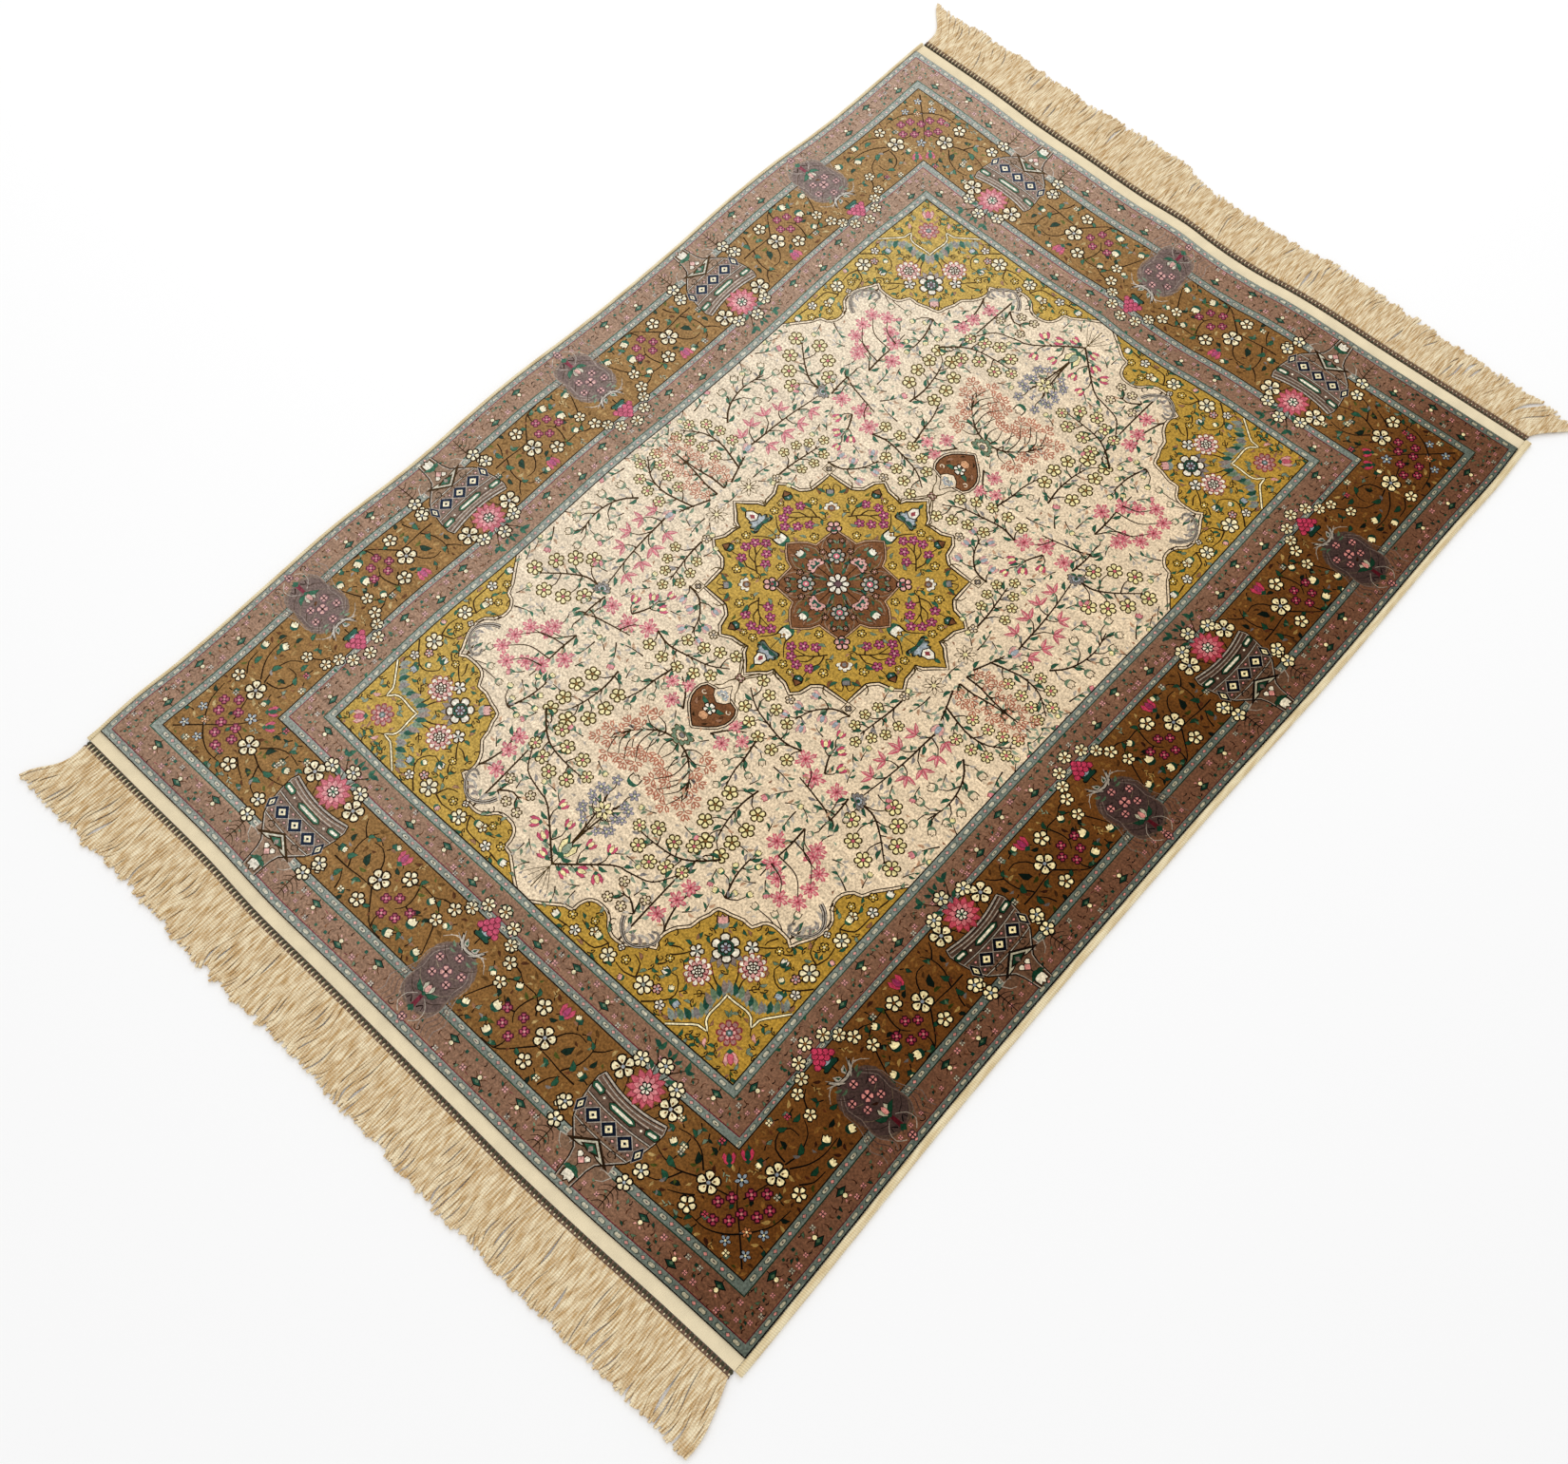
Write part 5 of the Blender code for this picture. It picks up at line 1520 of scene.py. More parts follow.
def fillEveryGap():
    corner = np.array([fieldSpot(*p) for p in cornerEdge])
    star, rustStar = starOutline(goldEighth, 9.0), starOutline(rustEighth, 4.0)
    pendant = np.array(mirroredAxis(pendantOutline))
    smallStar, smallRust = starOutline(goldEighth, -5.0), starOutline(rustEighth, -5.0)
    low, high = complex(sideLines[15] + 3, endLines[15] + 3), complex(halfWide, halfLong)
    onEnd("field")
    plain = (corner, star, pendant)
    for name, drawOne, seed in (("fieldSprig", lambda at, turn, pick: fieldFiller(at, turn, pick, 1.9), 6),
                                ("fieldTwig", fieldFiller, 7), ("fieldLeaf", fieldLeaf, 8)):
        fillGaps(low, high, *filling[name], lambda at: not any(insidePolygon(at, each) for each in plain),
                 drawOne, seed)
    fillGaps(low, high, *filling["gold"],
             lambda at: insidePolygon(at + 3, corner) and insidePolygon(at + 3j, corner), goldFiller, 9)
    loom.update(band=None)
    fillGaps(low, high, *filling["gold"],
             lambda at: insidePolygon(at, smallStar) and not insidePolygon(at, rustStar), goldFiller,
             10)
    fillGaps(low, high, *filling["rust"], lambda at: insidePolygon(at, smallRust), rustFiller, 11)
    main = bandName["main"]
    innerCorner = complex(sideLines[main + 1] - 5, endLines[main + 1] - 5)
    onEnd("main")
    fillGaps(complex(sideLines[main] + 5, endLines[main] + 5), high, *filling["camelSprig"],
             lambda at: at.real < innerCorner.real or at.imag < innerCorner.imag, camelFiller, 12)
    fillGaps(complex(sideLines[main] + 3, endLines[main] + 3), high, *filling["camelStroke"],
             lambda at: at.real < innerCorner.real or at.imag < innerCorner.imag, camelStroke, 15)
    for band, seed in (("outerMinor", 13), ("innerMinor", 14)):
        first = bandName[band]
        onEnd(band)
        inside = complex(sideLines[first + 1] - 3.5, endLines[first + 1] - 3.5)
        fillGaps(complex(sideLines[first] + 3.5, endLines[first] + 3.5), high, *filling["rose"],
                 lambda at: at.real < inside.real or at.imag < inside.imag, roseFiller, seed)


def drawCartoon():
    weaveBands()
    weaveField()
    weaveCorner()
    weaveMedallion()
    weavePendant()
    beadRow("edgeGuard")
    beadRow("outerGuard", dot="plum")
    beadRow("innerGuard", dot="ink")
    beadRow("fieldGuard")
    minorBorder("outerMinor")
    minorBorder("innerMinor")
    weaveMainBorder()
    fillEveryGap()


# Materials.
def newMaterial(name, roughness, sheen=0.0, sheenRoughness=0.3, specular=0.5):
    material = bpy.data.materials.new(name)
    material.use_nodes = True
    nodes = material.node_tree.nodes
    shader = nodes["Principled BSDF"]
    shader.inputs["Roughness"].default_value = roughness
    shader.inputs["Sheen Weight"].default_value = sheen
    shader.inputs["Sheen Roughness"].default_value = sheenRoughness
    shader.inputs["Specular IOR Level"].default_value = specular
    return material, material.node_tree, shader


def addNode(tree, kind, place, settings=None, **inputs):
    node = tree.nodes.new(kind)
    node.location = place
    for name, value in (settings or {}).items():
        setattr(node, name, value)
    for name, value in inputs.items():
        key = name.replace("_", " ")
        node.inputs[int(key[2:]) if key.startswith("at") else key].default_value = value
    return node


def wire(tree, *rows):
    # each row: a node and its output, then the node and the input it feeds
    for source, out, target, into in rows:
        tree.links.new(source.outputs[out], target.inputs[into])


# Tone is a power of the dye: below one is paler, above one is deeper.
# the tone keys below paint sheen and shade into the silk's colour across the rug
silk = {"roughness": 0.75, "specular": 0.04, "paintedSheenFrom": 0.2, "paintedSheenTo": 0.8, "paintedSheenLeft": 0.72,
        "paintedShadeRight": 1.04, "paintedShadeBorderFrom": 0.78, "paintedShadeBorderTo": 0.93, "paintedShadeBorder": 0.4, "paintedLightSlope": 0.2,
        "abrashScale": (3.0, 210.0, 1.0), "abrashLow": 0.68, "abrashHigh": 1.32, "speckLow": 0.86,
        "speckHigh": 1.12, "mottleScale": (360.0, 520.0, 1.0), "mottleLow": 0.24, "mottleHigh": 1.66,
        "bumpStrength": 0.35, "bumpDistance": 0.0006}


def silkPileMaterial():
    material, tree, shader = newMaterial("silkPile", silk["roughness"], specular=silk["specular"])
    dye = addNode(tree, "ShaderNodeAttribute", (-1100, 300), {"attribute_name": "dye"})
    chart = addNode(tree, "ShaderNodeUVMap", (-1700, 0), {"uv_map": "cartoon"})
    rows = addNode(tree, "ShaderNodeMapping", (-1500, 0), Scale=silk["abrashScale"])
    abrash = addNode(tree, "ShaderNodeTexNoise", (-1300, 0), {"noise_dimensions": "2D"}, Scale=1.0,
                     Detail=3.0)
    knots = addNode(tree, "ShaderNodeMapping", (-1500, -300), Scale=(rug["width"], rug["length"], 1.0))
    tuft = addNode(tree, "ShaderNodeTexVoronoi", (-1300, -300), {"voronoi_dimensions": "2D"},
                   Scale=1.0, Randomness=0.35)
    grain = addNode(tree, "ShaderNodeSeparateColor", (-1100, -300))
    shade = addNode(tree, "ShaderNodeMapRange", (-1100, 0), To_Min=silk["abrashLow"],
                    To_Max=silk["abrashHigh"])
    speck = addNode(tree, "ShaderNodeMapRange", (-900, -300), To_Min=silk["speckLow"],
                    To_Max=silk["speckHigh"])
    both = addNode(tree, "ShaderNodeMath", (-700, -100), {"operation": "MULTIPLY"})
    tint = addNode(tree, "ShaderNodeVectorMath", (-500, 200), {"operation": "SCALE"})
    bump = addNode(tree, "ShaderNodeBump", (-300, -400), {"invert": True},
                   Strength=silk["bumpStrength"], Distance=silk["bumpDistance"])
    # painted sheen and shade: the colour is made paler at the far left, where the silk's sheen is painted
    # in, and deeper at the near right, where shade is painted in
    corner = addNode(tree, "ShaderNodeSeparateXYZ", (-1500, 600))
    across = addNode(tree, "ShaderNodeMapRange", (-1300, 600), {"interpolation_type": "SMOOTHSTEP"},
                     From_Min=silk["paintedSheenFrom"], From_Max=silk["paintedSheenTo"],
                     To_Min=silk["paintedSheenLeft"], To_Max=silk["paintedShadeRight"])
    # painted shade: the right-hand border is deepened further, as if it lay away from the light
    border = addNode(tree, "ShaderNodeMapRange", (-1300, 750), {"interpolation_type": "SMOOTHSTEP"},
                     From_Min=silk["paintedShadeBorderFrom"], From_Max=silk["paintedShadeBorderTo"],
                     To_Min=0.0, To_Max=silk["paintedShadeBorder"])
    paintedSheenAndShade = addNode(tree, "ShaderNodeMath", (-1100, 700), {"operation": "ADD"})
    # painted sheen towards the far left and painted shade towards the near left, as a slope across the rug
    paintedLightLeftward = addNode(tree, "ShaderNodeMath", (-1300, 900), {"operation": "SUBTRACT"}, at0=1.0)
    paintedLightNearward = addNode(tree, "ShaderNodeMath", (-1300, 1100), {"operation": "SUBTRACT"}, at0=0.5)
    slope = addNode(tree, "ShaderNodeMath", (-1100, 1000), {"operation": "MULTIPLY"})
    paintedLightTone = addNode(tree, "ShaderNodeMath", (-900, 800), {"operation": "MULTIPLY_ADD"},
                     at1=silk["paintedLightSlope"])
    paintedSheenGamma = addNode(tree, "ShaderNodeGamma", (-700, 400))
    mottleChart = addNode(tree, "ShaderNodeMapping", (-1500, -600), Scale=silk["mottleScale"])
    mottle = addNode(tree, "ShaderNodeTexNoise", (-1300, -600), {"noise_dimensions": "2D"}, Scale=1.0,
                     Detail=2.0)
    fleck = addNode(tree, "ShaderNodeMapRange", (-1100, -600), To_Min=silk["mottleLow"],
                    To_Max=silk["mottleHigh"])
    every = addNode(tree, "ShaderNodeMath", (-600, -300), {"operation": "MULTIPLY"})
    wire(tree, (chart, 0, corner, 0), (corner, 0, across, "Value"), (corner, 0, paintedLightLeftward, 1),
         (corner, 1, paintedLightNearward, 1), (paintedLightLeftward, 0, slope, 0), (paintedLightNearward, 0, slope, 1), (slope, 0, paintedLightTone, 0),
         (corner, 0, border, "Value"), (across, 0, paintedSheenAndShade, 0), (border, 0, paintedSheenAndShade, 1), (paintedSheenAndShade, 0, paintedLightTone, 2),
         (dye, "Color", paintedSheenGamma, "Color"), (paintedLightTone, 0, paintedSheenGamma, "Gamma"), (chart, 0, mottleChart, 0),
         (mottleChart, 0, mottle, "Vector"), (mottle, "Fac", fleck, "Value"), (both, 0, every, 0),
         (fleck, 0, every, 1), (chart, 0, rows, 0), (chart, 0, knots, 0), (rows, 0, abrash, "Vector"),
         (knots, 0, tuft, "Vector"), (abrash, "Fac", shade, "Value"), (tuft, "Color", grain, 0),
         (grain, 0, speck, "Value"), (shade, 0, both, 0), (speck, 0, both, 1), (paintedSheenGamma, 0, tint, 0),
         (every, 0, tint, "Scale"), (tuft, "Distance", bump, "Height"), (tint, 0, shader, "Base Color"),
         (bump, 0, shader, "Normal"))
    return material


def weaveGround():
    drawCartoon()
    flat, faces, dyes, band = cutCartoon()
    flat, faces, dyes, band = unfoldQuarter(flat, faces, dyes, band)
    print("cartoon cut:", len(faces), "triangles")
    material = silkPileMaterial()
    pieces = []
    for name, (low, high) in pieceBands.items():
        mine = (band >= low) & (band <= high)
        piece = pilePiece(name, flat, faces[mine], dyes[mine], material)
        print(name, len(piece.data.polygons))
        pieces.append(piece)
    return pieces


# Camera, floor and light.
studio = {
    "lens": 37.07, "sensor": 36.0, "cameraPlace": (0.5661, -0.7947, 1.6993),
    "cameraTurn": (24.4415, -1.1871, 41.9665), "floorHalf": 6, "floorTone": 0.93, "worldStrength": 0.89,
    # name, place, target, side and power of each soft light
    "lights": (("windowSoftbox", (-1.9, 2.0, 2.2), (0.0, 0.1, 0.0), 1.8, 25.0),
               ("ceilingFill", (0.4, -0.6, 3.0), (0.0, 0.0, 0.0), 3.0, 7.0)),
}


def setStage():
    scene = bpy.context.scene
    scene.view_settings.view_transform = "Standard"
    camera = bpy.data.objects.new("camera", bpy.data.cameras.new("camera"))
    camera.data.lens = studio["lens"]
    camera.data.sensor_width = studio["sensor"]
    camera.data.sensor_fit = "HORIZONTAL"
    camera.location = studio["cameraPlace"]
    camera.rotation_euler = [math.radians(turn) for turn in studio["cameraTurn"]]
    scene.collection.objects.link(camera)
    scene.camera = camera

    floor = bpy.data.meshes.new("floor")
    half = studio["floorHalf"]
    floor.from_pydata([(-half, -half, 0), (half, -half, 0), (half, half, 0), (-half, half, 0)], [],
                      [(0, 1, 2, 3)])
    material, _, shader = newMaterial("paleFloor", 0.6, specular=0.2)
    shader.inputs["Base Color"].default_value = (*[studio["floorTone"]] * 3, 1.0)
    linkMesh("floor", floor, [material])

    world = bpy.data.worlds.new("studio")
    scene.world = world
    world.use_nodes = True
    world.node_tree.nodes["Background"].inputs["Color"].default_value = (1.0, 1.0, 1.0, 1.0)
    world.node_tree.nodes["Background"].inputs["Strength"].default_value = studio["worldStrength"]
    for name, place, target, size, power in studio["lights"]:
        light = bpy.data.lights.new(name, "AREA")
        light.shape = "SQUARE"
        light.size = size
        light.energy = power
        lamp = bpy.data.objects.new(name, light)
        lamp.location = place
        away = Vector(place) - Vector(target)
        lamp.rotation_euler = away.to_track_quat("Z", "Y").to_euler()
        scene.collection.objects.link(lamp)


# Node trees that follow an edge of the rug.
def newTree(name, sockets):
    tree = bpy.data.node_groups.new(name, "GeometryNodeTree")
    tree.interface.new_socket(name="Geometry", in_out="OUTPUT", socket_type="NodeSocketGeometry")
    tree.interface.new_socket(name="Geometry", in_out="INPUT", socket_type="NodeSocketGeometry")
    for label, kind, value in sockets:
        socket = tree.interface.new_socket(name=label, in_out="INPUT", socket_type="NodeSocket" + kind)
        if value is not None:
            socket.default_value = value
    given = addNode(tree, "NodeGroupInput", (-1400, 0))
    result = addNode(tree, "NodeGroupOutput", (1400, 0))
    return tree, given, result


def finishTree(tree, given, result, last):
    real = addNode(tree, "GeometryNodeRealizeInstances", (1000, 0))
    dress = addNode(tree, "GeometryNodeSetMaterial", (1200, 0))
    tree.links.new(last, real.inputs[0])
    tree.links.new(real.outputs[0], dress.inputs["Geometry"])
    tree.links.new(given.outputs["Material"], dress.inputs["Material"])
    tree.links.new(dress.outputs[0], result.inputs[0])


def grow(name, splines, tree, values):
    # poly lines through the tree, kept as a plain mesh
    curve = bpy.data.curves.new(name + "Path", "CURVE")
    curve.dimensions = "3D"
    for points in splines:
        line = curve.splines.new("POLY")
        line.points.add(len(points) - 1)
        flat = np.ones((len(points), 4), np.float32)
        flat[:, :3] = points
        line.points.foreach_set("co", flat.ravel())
    guide = bpy.data.objects.new(name + "Path", curve)
    bpy.context.scene.collection.objects.link(guide)
    modifier = guide.modifiers.new("grow", "NODES")
    modifier.node_group = tree
    for item in tree.interface.items_tree:
        if item.item_type == "SOCKET" and item.in_out == "INPUT" and item.name in values:
            modifier[item.identifier] = values[item.name]
    graph = bpy.context.evaluated_depsgraph_get()
    mesh = bpy.data.meshes.new_from_object(guide.evaluated_get(graph))
    mesh.name = name
    bpy.data.objects.remove(guide)
    made = bpy.data.objects.new(name, mesh)
    bpy.context.scene.collection.objects.link(made)
    return made


def joined(name, parts):
    shape = bmesh.new()
    materials = []
    for part in parts:
        shift = len(materials)
        materials += list(part.data.materials)
        first = len(shape.faces)
        shape.from_mesh(part.data)
        shape.faces.ensure_lookup_table()
        for face in shape.faces[first:]:
            face.material_index += shift
        bpy.data.objects.remove(part)
    mesh = bpy.data.meshes.new(name)
    shape.to_mesh(mesh)
    shape.free()
    return linkMesh(name, mesh, materials)


def cordTree():
    # a tube along each line, with its length and section kept for the plied pattern
    tree, given, result = newTree("pliedCord", (
        ("Material", "Material", None), ("Thickness", "Float", 0.002), ("Stations", "Int", 14),
        ("Wiggle", "Float", 0.001), ("Wave Size", "Float", 90.0)))
    lines = addNode(tree, "GeometryNodeResampleCurve", (-1100, 0))
    reach = addNode(tree, "GeometryNodeSplineParameter", (-1100, -300))
    noise = addNode(tree, "ShaderNodeTexNoise", (-900, -500), {"noise_dimensions": "3D"}, Detail=1.0)
    centred = addNode(tree, "ShaderNodeVectorMath", (-700, -500), {"operation": "SUBTRACT"})
    centred.inputs[1].default_value = (0.5, 0.5, 0.5)
    strong = addNode(tree, "ShaderNodeMath", (-700, -300), {"operation": "MULTIPLY"})
    shift = addNode(tree, "ShaderNodeVectorMath", (-500, -400), {"operation": "SCALE"})
    flatten = addNode(tree, "ShaderNodeVectorMath", (-300, -400), {"operation": "MULTIPLY"})
    flatten.inputs[1].default_value = (1.0, 0.35, 0.12)
    move = addNode(tree, "GeometryNodeSetPosition", (-300, 0))
    along = addNode(tree, "GeometryNodeStoreNamedAttribute", (-100, 0),
                    {"data_type": "FLOAT", "domain": "POINT"}, Name="along")
    section = addNode(tree, "GeometryNodeCurvePrimitiveCircle", (-300, 300), {"mode": "RADIUS"},
                      Resolution=5, Radius=1.0)
    where = addNode(tree, "GeometryNodeInputPosition", (-300, 500))
    mark = addNode(tree, "GeometryNodeStoreNamedAttribute", (-100, 300),
                   {"data_type": "FLOAT_VECTOR", "domain": "POINT"}, Name="section")
    half = addNode(tree, "ShaderNodeMath", (-100, 500), {"operation": "MULTIPLY"})
    half.inputs[1].default_value = 0.5
    size = addNode(tree, "GeometryNodeTransform", (100, 300))
    sizeVector = addNode(tree, "ShaderNodeCombineXYZ", (0, 500), None)
    tube = addNode(tree, "GeometryNodeCurveToMesh", (400, 0), None, Fill_Caps=True)
    wire(tree, (given, "Geometry", lines, "Curve"), (given, "Stations", lines, "Count"),
         (given, "Wave Size", noise, "Scale"), (noise, "Color", centred, 0), (reach, "Factor", strong, 0),
         (given, "Wiggle", strong, 1), (centred, 0, shift, 0), (strong, 0, shift, "Scale"),
         (shift, 0, flatten, 0), (lines, 0, move, "Geometry"), (flatten, 0, move, "Offset"),
         (move, 0, along, "Geometry"), (reach, "Length", along, "Value"), (section, 0, mark, "Geometry"),
         (where, 0, mark, "Value"), (given, "Thickness", half, 0))
    for axis in range(3):
        tree.links.new(half.outputs[0], sizeVector.inputs[axis])
    wire(tree, (mark, 0, size, "Geometry"), (sizeVector, 0, size, "Scale"), (along, 0, tube, "Curve"),
         (size, 0, tube, "Profile Curve"))
    finishTree(tree, given, result, tube.outputs[0])
    return tree


def stitchTree():
    # one small rounded stitch at every pitch along a line, turned to follow it
    tree, given, result = newTree("stitchRow",
                                  (("Material", "Material", None), ("Pitch", "Float", 0.0057),
                                   ("Size", "Vector", (0.002, 0.005, 0.001)), ("Slant", "Float", 0.0),
                                   ("Shift", "Float", 0.0)))
    trim = addNode(tree, "GeometryNodeTrimCurve", (-1200, 0), {"mode": "LENGTH"})
    spaced = addNode(tree, "GeometryNodeCurveToPoints", (-900, 0), {"mode": "LENGTH"})
    bead = addNode(tree, "GeometryNodeMeshUVSphere", (-900, 300), None, Segments=6, Rings=4, Radius=1.0)
    place = addNode(tree, "GeometryNodeInstanceOnPoints", (-500, 0))
    slant = addNode(tree, "ShaderNodeCombineXYZ", (-900, -300))
    turn = addNode(tree, "GeometryNodeRotateInstances", (-200, 0), None)
    wire(tree, (given, "Geometry", trim, "Curve"), (given, "Shift", trim, 4))
    trim.inputs[5].default_value = 10.0
    wire(tree, (trim, 0, spaced, "Curve"), (given, "Pitch", spaced, "Length"),
         (spaced, "Points", place, "Points"), (bead, 0, place, "Instance"), (given, "Size", place, "Scale"),
         (given, "Slant", slant, 2), (place, 0, turn, "Instances"), (slant, 0, turn, "Rotation"))
    smooth = addNode(tree, "GeometryNodeSetShadeSmooth", (600, 0))
    wire(tree, (turn, 0, smooth, "Geometry"))
    finishTree(tree, given, result, smooth.outputs[0])
    return tree


def overcastTree():
    # a flat-footed roll whose threads wind slantwise round it
    tree, given, result = newTree("overcastRoll",
                                  (("Material", "Material", None), ("Width", "Float", 0.009),
                                   ("Height", "Float", 0.0045), ("Pitch", "Float", 0.0024),
                                   ("Depth", "Float", 0.0003), ("Slant", "Float", 0.8),
                                   ("Stations", "Int", 1850), ("Section Points", "Int", 8)))
    lines = addNode(tree, "GeometryNodeResampleCurve", (-1100, 0), None)
    reach = addNode(tree, "GeometryNodeSplineParameter", (-1100, -300))
    along = addNode(tree, "GeometryNodeStoreNamedAttribute", (-700, 0),
                    {"data_type": "FLOAT", "domain": "POINT"}, Name="along")
    section = addNode(tree, "GeometryNodeCurvePrimitiveCircle", (-900, 300), {"mode": "RADIUS"}, Radius=1.0)
    where = addNode(tree, "GeometryNodeInputPosition", (-900, 500))
    mark = addNode(tree, "GeometryNodeStoreNamedAttribute", (-700, 300),
                   {"data_type": "FLOAT_VECTOR", "domain": "POINT"}, Name="section")
    halfWidth = addNode(tree, "ShaderNodeMath", (-700, 700), {"operation": "MULTIPLY"})
    halfHeight = addNode(tree, "ShaderNodeMath", (-700, 900), {"operation": "MULTIPLY"})
    halfWidth.inputs[1].default_value = halfHeight.inputs[1].default_value = 0.5
    sizeVector = addNode(tree, "ShaderNodeCombineXYZ", (-500, 700))
    size = addNode(tree, "GeometryNodeTransform", (-300, 300))
    tube = addNode(tree, "GeometryNodeCurveToMesh", (0, 0), None, Fill_Caps=True)
    wire(tree, (given, "Geometry", lines, "Curve"), (given, "Stations", lines, "Count"),
         (given, "Section Points", section, "Resolution"), (lines, 0, along, "Geometry"),
         (reach, "Length", along, "Value"), (section, 0, mark, "Geometry"), (where, 0, mark, "Value"),
         (given, "Width", halfWidth, 0), (given, "Height", halfHeight, 0), (halfWidth, 0, sizeVector, 0),
         (halfHeight, 0, sizeVector, 1), (mark, 0, size, "Geometry"), (sizeVector, 0, size, "Scale"),
         (along, 0, tube, "Curve"), (size, 0, tube, "Profile Curve"))
    # lift = depth * sin(2 pi (along / pitch + slant * section x))
    readAlong = addNode(tree, "GeometryNodeInputNamedAttribute", (0, -300), {"data_type": "FLOAT"},
                        Name="along")
    readSection = addNode(tree, "GeometryNodeInputNamedAttribute", (0, -500),
                          {"data_type": "FLOAT_VECTOR"}, Name="section")
    splitSection = addNode(tree, "ShaderNodeSeparateXYZ", (200, -500))
    turns = addNode(tree, "ShaderNodeMath", (200, -300), {"operation": "DIVIDE"})
    slanted = addNode(tree, "ShaderNodeMath", (400, -500), {"operation": "MULTIPLY"})
    phase = addNode(tree, "ShaderNodeMath", (400, -300), {"operation": "ADD"})
    circle = addNode(tree, "ShaderNodeMath", (600, -300), {"operation": "MULTIPLY"})
    circle.inputs[1].default_value = 2 * math.pi
    wave = addNode(tree, "ShaderNodeMath", (800, -300), {"operation": "SINE"})
    deep = addNode(tree, "ShaderNodeMath", (1000, -300), {"operation": "MULTIPLY"})
    normal = addNode(tree, "GeometryNodeInputNormal", (800, -500))
    offset = addNode(tree, "ShaderNodeVectorMath", (1000, -500), {"operation": "SCALE"})
    ripple = addNode(tree, "GeometryNodeSetPosition", (600, 0))
    wire(tree, (readAlong, 0, turns, 0), (given, "Pitch", turns, 1), (readSection, 0, splitSection, 0),
         (splitSection, 0, slanted, 0), (given, "Slant", slanted, 1), (turns, 0, phase, 0),
         (slanted, 0, phase, 1), (phase, 0, circle, 0), (circle, 0, wave, 0), (wave, 0, deep, 0),
         (given, "Depth", deep, 1), (normal, 0, offset, 0), (deep, 0, offset, "Scale"),
         (tube, 0, ripple, "Geometry"), (offset, 0, ripple, "Offset"))
    smooth = addNode(tree, "GeometryNodeSetShadeSmooth", (800, 0))
    wire(tree, (ripple, 0, smooth, "Geometry"))
    finishTree(tree, given, result, smooth.outputs[0])
    return tree


def threadMaterial(name, colour, darker, roughness, sheen, twist=2100.0, noiseScale=60.0):
    # plied silk: slanting strands along each cord, with painted shade in the grooves between them, and pale
    # and tan cords side by side
    material, tree, shader = newMaterial(name, roughness, sheen=sheen, sheenRoughness=0.4, specular=0.4)
    along = addNode(tree, "ShaderNodeAttribute", (-1500, 0), {"attribute_name": "along"})
    section = addNode(tree, "ShaderNodeAttribute", (-1500, -250), {"attribute_name": "section"})
    turn = addNode(tree, "ShaderNodeMath", (-1300, 0), {"operation": "MULTIPLY"})
    turn.inputs[1].default_value = twist
    cosine = addNode(tree, "ShaderNodeMath", (-1100, 100), {"operation": "COSINE"})
    sine = addNode(tree, "ShaderNodeMath", (-1100, -100), {"operation": "SINE"})
    both = addNode(tree, "ShaderNodeCombineXYZ", (-900, 0))
    strand = addNode(tree, "ShaderNodeVectorMath", (-700, -100), {"operation": "DOT_PRODUCT"})
    height = addNode(tree, "ShaderNodeMapRange", (-500, -100))
    height.inputs["From Min"].default_value = -1.0
    bump = addNode(tree, "ShaderNodeBump", (-300, -300), None, Strength=0.6, Distance=0.0005)
    place = addNode(tree, "ShaderNodeTexCoord", (-1500, 500))
    stretch = addNode(tree, "ShaderNodeMapping", (-1300, 500), None, Scale=(9.0, 1.0, 1.0))
    blotch = addNode(tree, "ShaderNodeTexNoise", (-1100, 400), None, Scale=noiseScale, Detail=2.0)
    ramp = addNode(tree, "ShaderNodeMapRange", (-800, 400))
    ramp.inputs["From Min"].default_value = 0.35
    ramp.inputs["From Max"].default_value = 0.65
    mixed = addNode(tree, "ShaderNodeMix", (-500, 400), {"data_type": "RGBA"})
    mixed.inputs[6].default_value = linear(darker)
    mixed.inputs[7].default_value = linear(colour)
    # painted shade: the colour deepens where the strands dip, in step with the bump
    shade = addNode(tree, "ShaderNodeMapRange", (-500, 100), None, To_Min=0.82, To_Max=1.06)
    shade.inputs["From Min"].default_value = -1.0
    tint = addNode(tree, "ShaderNodeVectorMath", (-250, 300), {"operation": "SCALE"})
    wire(tree, (along, "Fac", turn, 0), (turn, 0, cosine, 0), (turn, 0, sine, 0), (cosine, 0, both, 0),
         (sine, 0, both, 1), (section, "Vector", strand, 0), (both, 0, strand, 1),
         (strand, "Value", height, "Value"), (height, 0, bump, "Height"),
         (place, "Object", stretch, "Vector"), (stretch, 0, blotch, "Vector"),
         (blotch, "Fac", ramp, "Value"), (ramp, 0, mixed, 0), (mixed, 2, tint, 0),
         (strand, "Value", shade, "Value"), (shade, 0, tint, "Scale"), (tint, 0, shader, "Base Color"),
         (bump, 0, shader, "Normal"))
    return material


